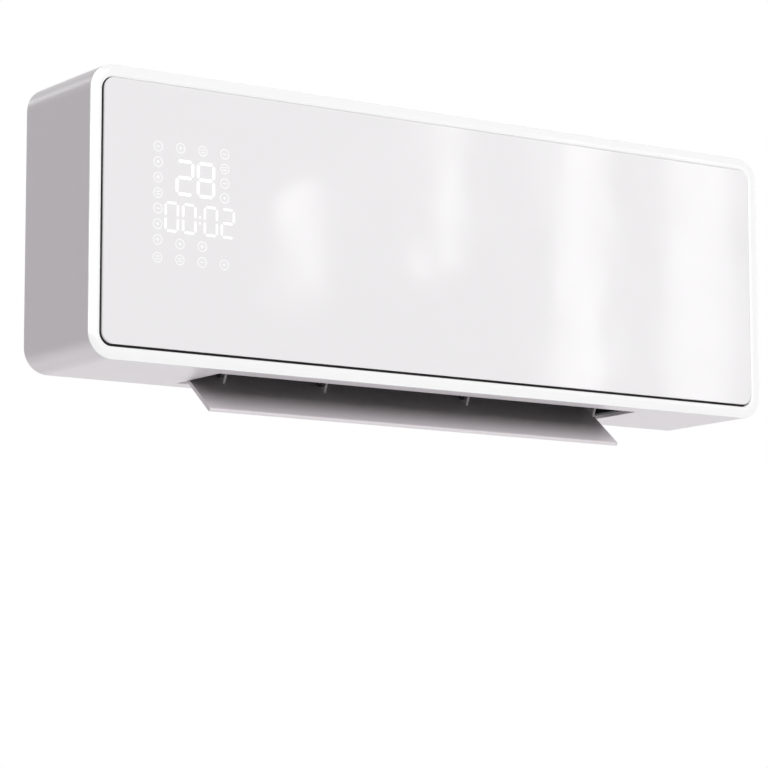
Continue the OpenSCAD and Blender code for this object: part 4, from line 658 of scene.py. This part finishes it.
def screw_form():
    """Pan-head screw with a cross recess and a turned thread, one on each base point."""
    form = Form("pan_head_screw", Head_Radius="float", Head_Height="float", Shank_Radius="float",
                Shank_Length="float", Thread_Pitch="float", Thread_Depth="float",
                Recess_Width="float", Way="vector", Material="material")
    given = form.given
    head_r, head_h, width = given["Head Radius"], given["Head Height"], given["Recess Width"]
    shank_r, shank_l, pitch = given["Shank Radius"], given["Shank Length"], given["Thread Pitch"]
    at = form.place()
    # head: a drum drawn in towards its crown, along -Z
    drum = form.node("GeometryNodeMeshCylinder", {"fill_type": "TRIANGLE_FAN"}, Vertices=28,
                     Side_Segments=4, Fill_Segments=3, Radius=head_r, Depth=head_h).outputs["Mesh"]
    drum = form.moved(drum, form.vector(z=form.times(head_h, -0.5)))
    out = form.math("SQRT", form.plus(form.times(at["X"], at["X"]), form.times(at["Y"], at["Y"])))
    share = form.over(out, head_r)
    rise = form.over(at["Z"], head_h)
    lean = form.times(rise, HEAD_LEAN)
    shrink = form.math("COSINE", lean)
    crown = form.times(form.minus(1.0, form.times(share, share)), form.times(rise, HEAD_CROWN))
    height = form.plus(form.times(form.math("SINE", lean), HEAD_WALL), crown)
    domed = form.vector(form.times(at["X"], shrink), form.times(at["Y"], shrink),
                        form.times(height, head_h))
    head = form.node("GeometryNodeSetPosition", Geometry=drum, Position=domed).outputs[0]
    # cross recess
    span, deep = form.times(head_r, RECESS_SPAN), form.times(head_h, RECESS_DEPTH)
    top = form.vector(z=form.times(head_h, -1.0))
    cut = form.node("GeometryNodeMeshBoolean", {"operation": "DIFFERENCE", "solver": "EXACT"})
    form.tree.links.new(head, cut.inputs["Mesh 1"])
    for size in (form.vector(span, width, deep), form.vector(width, span, deep)):
        arm = form.node("GeometryNodeMeshCube", Size=size).outputs["Mesh"]
        form.tree.links.new(form.moved(arm, top), cut.inputs["Mesh 2"])
    # shank, whose radius follows a helix and runs out to a point
    rings = form.times(form.over(shank_l, pitch), RINGS_PER_TURN)
    rod = form.node("GeometryNodeMeshCylinder", Vertices=12, Side_Segments=rings, Radius=shank_r,
                    Depth=shank_l).outputs["Mesh"]
    rod = form.moved(rod, form.vector(z=form.times(shank_l, SHANK_FROM)))
    turn = form.over(form.math("ARCTAN2", at["Y"], at["X"]), 2 * math.pi)
    phase = form.minus(form.over(at["Z"], pitch), turn)
    ridge = form.times(form.math("PINGPONG", phase, 0.5), 2.0)
    to_tip = form.over(form.minus(shank_l, at["Z"]), form.times(shank_r, TIP_LONG))
    taper = form.math("MINIMUM", form.plus(form.times(to_tip, 1.0 - TIP_END), TIP_END), 1.0)
    sunk = form.minus(1.0, form.times(form.over(given["Thread Depth"], shank_r), ridge))
    radius = form.times(sunk, taper)
    threaded = form.vector(form.times(at["X"], radius), form.times(at["Y"], radius), at["Z"])
    shank = form.node("GeometryNodeSetPosition", Geometry=rod, Position=threaded).outputs[0]
    facing = form.node("FunctionNodeAlignRotationToVector", {"axis": "Z"}, Vector=given["Way"])
    return form.finish(form.on_base(form.joined(cut.outputs["Mesh"], shank),
                                    Rotation=facing.outputs[0]))


def loose_parts(node):
    """Boxes of the separate solids in a CAD node, as low and high corners, in order of place."""
    copy = bmesh.new()
    copy.from_mesh(NODES[node].data)
    bmesh.ops.remove_doubles(copy, verts=copy.verts, dist=SAME_CORNER)
    left = set(copy.verts)
    boxes = []
    while left:
        front = [left.pop()]
        low, high = front[0].co.copy(), front[0].co.copy()
        while front:
            vertex = front.pop()
            low = Vector(map(min, low, vertex.co))
            high = Vector(map(max, high, vertex.co))
            for edge in vertex.link_edges:
                other = edge.other_vert(vertex)
                if other in left:
                    left.remove(other)
                    front.append(other)
        boxes.append((low, high))
    copy.free()
    return sorted(boxes, key=lambda box: tuple(box[0]))


def make_screws(form, node, ways):
    """Detailed screws in place of a node's plain ones; ways gives the shank's sense by axis."""
    kinds = {}
    for low, high in loose_parts(node):
        size = high - low
        along = max(range(3), key=lambda k: size[k])
        small = min(size) < SMALL_HEAD
        head = (SMALL_SCREW if small else SCREW)["Head_Height"]
        sense = ways[along]
        place = (low + high) / 2
        place[along] = (low if sense > 0 else high)[along] + sense * head
        length = round((size[along] - head) / MM, 2)
        kinds.setdefault((small, along, sense, length), []).append(place)
    meshes = []
    for (small, along, sense, length), places in sorted(kinds.items()):
        way = [0.0, 0.0, 0.0]
        way[along] = float(sense)
        meshes.append(grown(f"{node}_{along}", form, places, Way=way, Shank_Length=length * MM,
                            Material=FINISHES["screw_steel"], **(SMALL_SCREW if small else SCREW)))
    piece = welded(f"{node}_turned", meshes)
    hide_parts(node)
    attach(piece, "chassis")


# ---- filter gauze ----

GAUZE_EDGE = 2 * MM
GAUZE_PITCH, THREAD_R = 1.1 * MM, 0.11 * MM
# The two layers lie this many thread radii off the middle
LAYER_LIFT = 0.8


def gauze_form():
    """Two layers of straight threads that fill a frame."""
    form = Form("filter_gauze", Width="float", Depth="float", Pitch="float", Thread="float",
                Material="material")
    given = form.given
    pitch = given["Pitch"]

    def layer(side, span, run, lay, lift):
        """Threads set side by side over a span, each as long as the run."""
        count = form.math("FLOOR", form.over(span, pitch))
        reach = form.times(form.minus(count, 1.0), form.times(pitch, -0.5))
        thread = form.node("GeometryNodeMeshCylinder", Vertices=6, Radius=given["Thread"],
                           Depth=run).outputs["Mesh"]
        first = form.vector(z=form.times(given["Thread"], lift), **{side: reach})
        line = form.node("GeometryNodeMeshLine", Count=count, Start_Location=first,
                         Offset=form.vector(**{side: pitch})).outputs[0]
        return form.node("GeometryNodeInstanceOnPoints", Points=line, Instance=thread,
                         Rotation=lay).outputs[0]

    width, depth = given["Width"], given["Depth"]
    both = form.joined(layer("x", width, depth, (math.pi / 2, 0.0, 0.0), LAYER_LIFT),
                       layer("y", depth, width, (0.0, math.pi / 2, 0.0), -LAYER_LIFT))
    return form.finish(form.on_base(both))


def make_gauze():
    """Threads of the filter gauze, inside the edge of its frame."""
    low, high = (Vector(corner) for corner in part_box("filter_mesh"))
    mesh = grown("filter_gauze", gauze_form(), [(low + high) / 2],
                 Width=high.x - low.x - GAUZE_EDGE, Depth=high.y - low.y - GAUZE_EDGE,
                 Pitch=GAUZE_PITCH, Thread=THREAD_R, Material=FINISHES["mesh_grey"])
    piece = welded("filter_gauze", [mesh])
    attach(piece, "filter")


# ---- heater fins ----

FIN_PITCH = 2.0 * MM
FIN_SHEET = 0.2 * MM
STEPS_PER_FOLD = 10.0
# A wave raised this much and cut off at its full width has flat folds
FOLD_FLAT = 1.12


def fin_form():
    """Strip folded to and fro between two bars, one on each base point."""
    form = Form("folded_fin", Length="float", Row="float", Height="float", Pitch="float",
                Sheet="float", Material="material")
    given = form.given
    pitch, sheet, tall = given["Pitch"], given["Sheet"], given["Height"]
    folds = form.math("FLOOR", form.over(given["Length"], pitch))
    count = form.plus(form.times(folds, STEPS_PER_FOLD), 1.0)
    stride = form.over(pitch, STEPS_PER_FOLD)
    start = form.times(form.times(form.minus(count, 1.0), stride), -0.5)
    first = form.vector(x=start, z=form.times(tall, -0.5))
    line = form.node("GeometryNodeMeshLine", Count=count, Start_Location=first,
                     Offset=form.vector(x=stride)).outputs[0]
    wave = form.math("SINE", form.times(form.over(form.place()["X"], pitch), 2 * math.pi))
    held = form.math("MINIMUM", form.math("MAXIMUM", form.times(wave, FOLD_FLAT), -1.0), 1.0)
    swing = form.times(held, form.minus(form.times(given["Row"], 0.5), sheet))
    folded = form.node("GeometryNodeSetPosition", Geometry=line,
                       Offset=form.vector(y=swing)).outputs[0]
    ribbon = form.node("GeometryNodeExtrudeMesh", {"mode": "EDGES"}, Mesh=folded,
                       Offset=form.vector(z=tall)).outputs["Mesh"]
    raised = form.node("GeometryNodeExtrudeMesh", {"mode": "FACES"}, Mesh=ribbon,
                       Offset_Scale=sheet, Individual=False).outputs["Mesh"]
    back = form.node("GeometryNodeFlipFaces", Mesh=ribbon).outputs[0]
    closed = form.node("GeometryNodeMergeByDistance", Geometry=form.joined(raised, back),
                       Distance=SAME_FOLD).outputs[0]
    return form.finish(form.on_base(closed))


def make_fins():
    """Folded fins in place of the heater's plain blocks."""
    rows = sorted(loose_parts("heater_fins"), key=lambda box: box[0].y)
    low, high = rows[0]
    mesh = grown("folded_fins", fin_form(), [(a + b) / 2 for a, b in rows], Length=high.x - low.x,
                 Row=high.y - low.y, Height=high.z - low.z, Pitch=FIN_PITCH, Sheet=FIN_SHEET,
                 Material=FINISHES["fin_aluminium"])
    piece = welded("folded_fins", [mesh], 60.0)
    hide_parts("heater_fins")
    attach(piece, "chassis")


# ---- front frame ----

CORNER_R = 17 * MM
CORNER_STEPS = 14
FRAME_W = 8.28 * MM
# How far the border falls towards the outside, where its side ends, and its edge's rounding
FRAME_FALL = 0.9 * MM
FRAME_SIDE = 1.63 * MM
FRAME_EDGE_R = 0.7 * MM
# The part of that fall up to the rounding
CROWN_FALL = 0.92 * FRAME_FALL
# Bevel that rolls over towards the pane
FRAME_BEVEL, FRAME_BEVEL_FALL = 1.8 * MM, 1.3 * MM
BEVEL_ROLL = 0.9
EDGE_STEPS, CROWN_STEPS, BEVEL_STEPS = 6, 8, 7
SEAT_W, SEAT_BACK, SEAT_T = 5 * MM, 5.3 * MM, 2 * MM
SKIRT_IN, SKIRT_T, SKIRT_DEPTH = 2.7 * MM, 2.5 * MM, 11 * MM
TAB_XS = [-190 * MM, -64 * MM, 64 * MM, 190 * MM]
TAB_W, TAB_LONG, TAB_RISE = 14 * MM, 4 * MM, 1.1 * MM
# How far a catch reaches into the skirt, and its ramp: length and height
TAB_ROOT, TAB_RAMP, TAB_LEAD = 0.5 * MM, 1.2 * MM, 0.6 * MM


def frame_section():
    """Closed section of the frame as (distance in from the outline, depth behind the front)."""
    crest = FRAME_W - FRAME_BEVEL
    points = [(0.0, FRAME_SIDE), (0.0, FRAME_FALL + FRAME_EDGE_R)]
    # rounding of the outer edge, then a long soft crown up to the crest
    for k in range(1, EDGE_STEPS):
        a = math.radians(90 * k / EDGE_STEPS)
        points.append((FRAME_EDGE_R * (1 - math.cos(a)),
                       CROWN_FALL + FRAME_EDGE_R * (1 - math.sin(a))))
    for k in range(CROWN_STEPS + 1):
        t = k / CROWN_STEPS
        points.append((FRAME_EDGE_R + (crest - FRAME_EDGE_R) * t, CROWN_FALL * (1 - t) ** 2))
    for k in range(1, BEVEL_STEPS + 1):
        a = k / BEVEL_STEPS * math.pi / 2
        points.append((crest + FRAME_BEVEL * math.sin(a) ** BEVEL_ROLL,
                       FRAME_BEVEL_FALL * (1 - math.cos(a))))
    seat_in, skirt_in = FRAME_W + SEAT_W, SKIRT_IN + SKIRT_T
    points += [(FRAME_W, SEAT_BACK), (seat_in, SEAT_BACK), (seat_in, SEAT_BACK + SEAT_T),
               (skirt_in, SEAT_BACK + SEAT_T), (skirt_in, SKIRT_DEPTH), (SKIRT_IN, SKIRT_DEPTH),
               (SKIRT_IN, FRAME_SIDE)]
    return points


def snap_tabs(front, half_h):
    """Ramped catches on the frame's skirt, four along the top and four along the bottom."""
    tabs = bmesh.new()
    back = front + SKIRT_DEPTH
    root, crest = half_h - SKIRT_IN - TAB_ROOT, half_h - SKIRT_IN + TAB_RISE
    ramp = [(back, root), (back, crest - TAB_LEAD), (back - TAB_RAMP, crest),
            (back - TAB_LONG, crest), (back - TAB_LONG, root)]
    for x in TAB_XS:
        for side in (-1, 1):
            ends = [[tabs.verts.new((x + way * TAB_W / 2, y, side * z)) for y, z in ramp]
                    for way in (-1, 1)]
            for end in ends:
                tabs.faces.new(end)
            for k in range(len(ramp)):
                n = (k + 1) % len(ramp)
                tabs.faces.new((ends[0][k], ends[0][n], ends[1][n], ends[1][k]))
    mesh = bpy.data.meshes.new("snap_tabs")
    tabs.to_mesh(mesh)
    tabs.free()
    return mesh


def sweep_form():
    """Section swept round a rectangle with round corners, standing in the XZ plane."""
    form = Form("swept_border", Width="float", Height="float", Corner="float", Front="float",
                Material="material")
    given = form.given
    path = form.node("GeometryNodeCurvePrimitiveQuadrilateral", Width=given["Width"],
                     Height=given["Height"]).outputs[0]
    path = form.node("GeometryNodeFilletCurve", {"mode": "POLY"}, Curve=path, Count=CORNER_STEPS,
                     Radius=given["Corner"]).outputs[0]
    path = form.node("GeometryNodeSetCurveNormal", {"mode": "Z_UP"}, Curve=path).outputs[0]
    section = form.node("GeometryNodeMeshToCurve", Mesh=given["Base"]).outputs[0]
    swept = form.node("GeometryNodeCurveToMesh", Curve=path, Profile_Curve=section).outputs[0]
    stood = form.node("GeometryNodeTransform", Geometry=swept, Rotation=(math.pi / 2, 0.0, 0.0),
                      Translation=form.vector(y=given["Front"])).outputs[0]
    return form.finish(stood)


def make_frame():
    """The frame's moulding with its crowned border and snap tabs, in place of the CAD one."""
    low, high = (Vector(corner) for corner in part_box("front_frame"))
    section = frame_section()
    loop = [(k, (k + 1) % len(section)) for k in range(len(section))]
    mesh = grown("frame_moulding", sweep_form(), [(-a, b, 0.0) for a, b in section], loop,
                 Width=high.x - low.x, Height=high.z - low.z, Corner=CORNER_R, Front=low.y,
                 Material=FINISHES["frame_white"])
    piece = welded("frame_moulding", [mesh, snap_tabs(low.y, high.z)], 35.0)
    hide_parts("front_frame")
    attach(piece, "chassis")


# ---- marks on the mains rocker ----

# The rocker's pin, its tilt at rest and how far its face stands from the pin
ROCKER_AT = Vector((274.8 * MM, -30 * MM, -34 * MM))
ROCKER_TILT = math.radians(8)
ROCKER_FACE = 2.4 * MM
MARK_UP, MARK_SUNK, MARK_PROUD = 4.4 * MM, 0.2 * MM, 0.12 * MM
RING_R, STROKE = 1.7 * MM, 0.6 * MM
MARK_STEPS = 40


def flat_mark(marks, outline, hollow, middle, lean):
    """Raised printed mark, solid or ring-shaped, on a face that leans out from the rocker."""
    seat = Matrix.Translation(ROCKER_AT) @ Matrix.Rotation(ROCKER_TILT, 4, "Y")
    turn = Matrix.Rotation(lean, 4, "Y")
    loops = []
    for edge in (outline, hollow):
        for lift in (-MARK_SUNK, MARK_PROUD):
            loops.append([marks.verts.new(seat @ (middle + turn @ Vector((lift, u, v))))
                          for u, v in edge])
    walls = [(0, 1)] + ([(1, 3), (3, 2), (2, 0)] if hollow else [])
    for low, high in walls:
        for k in range(len(outline)):
            n = (k + 1) % len(outline)
            marks.faces.new((loops[low][k], loops[low][n], loops[high][n], loops[high][k]))
    if not hollow:
        for k in (0, 1):
            marks.faces.new(loops[k])


def make_rocker_marks():
    """A ring on the off half and a bar on the on half."""
    turns = [2 * math.pi * k / MARK_STEPS for k in range(MARK_STEPS)]
    end_r = STROKE / 2
    ring, hole = ([(r * math.cos(a), r * math.sin(a)) for a in turns]
                  for r in (RING_R, RING_R - STROKE))
    bar = [(end_r * math.cos(a), end_r * math.sin(a) + math.copysign(RING_R - end_r, math.sin(a)))
           for a in turns]
    marks = bmesh.new()
    out = MARK_UP * math.tan(ROCKER_TILT)
    for outline, hollow, side in ((ring, hole, 1), (bar, (), -1)):
        middle = Vector((ROCKER_FACE + out, 0.0, side * MARK_UP))
        flat_mark(marks, outline, hollow, middle, side * ROCKER_TILT)
    mesh = bpy.data.meshes.new("rocker_marks")
    marks.to_mesh(mesh)
    marks.free()
    mesh.materials.append(FINISHES["frame_white"])
    piece = welded("rocker_marks", [mesh])
    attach(piece, "rocker")


make_camera()
make_studio()
FINISHES = make_finishes()
finish_nodes(FINISHES)
screws = screw_form()
make_screws(screws, "casing_screws", {1: -1})
make_screws(screws, "chassis_screws", {0: -1, 1: 1, 2: -1})
make_screws(screws, "display_screws", {1: -1})
make_gauze()
make_fins()
make_frame()
make_rocker_marks()

bpy.context.scene.view_settings.view_transform = "Standard"
bpy.context.view_layer.update()
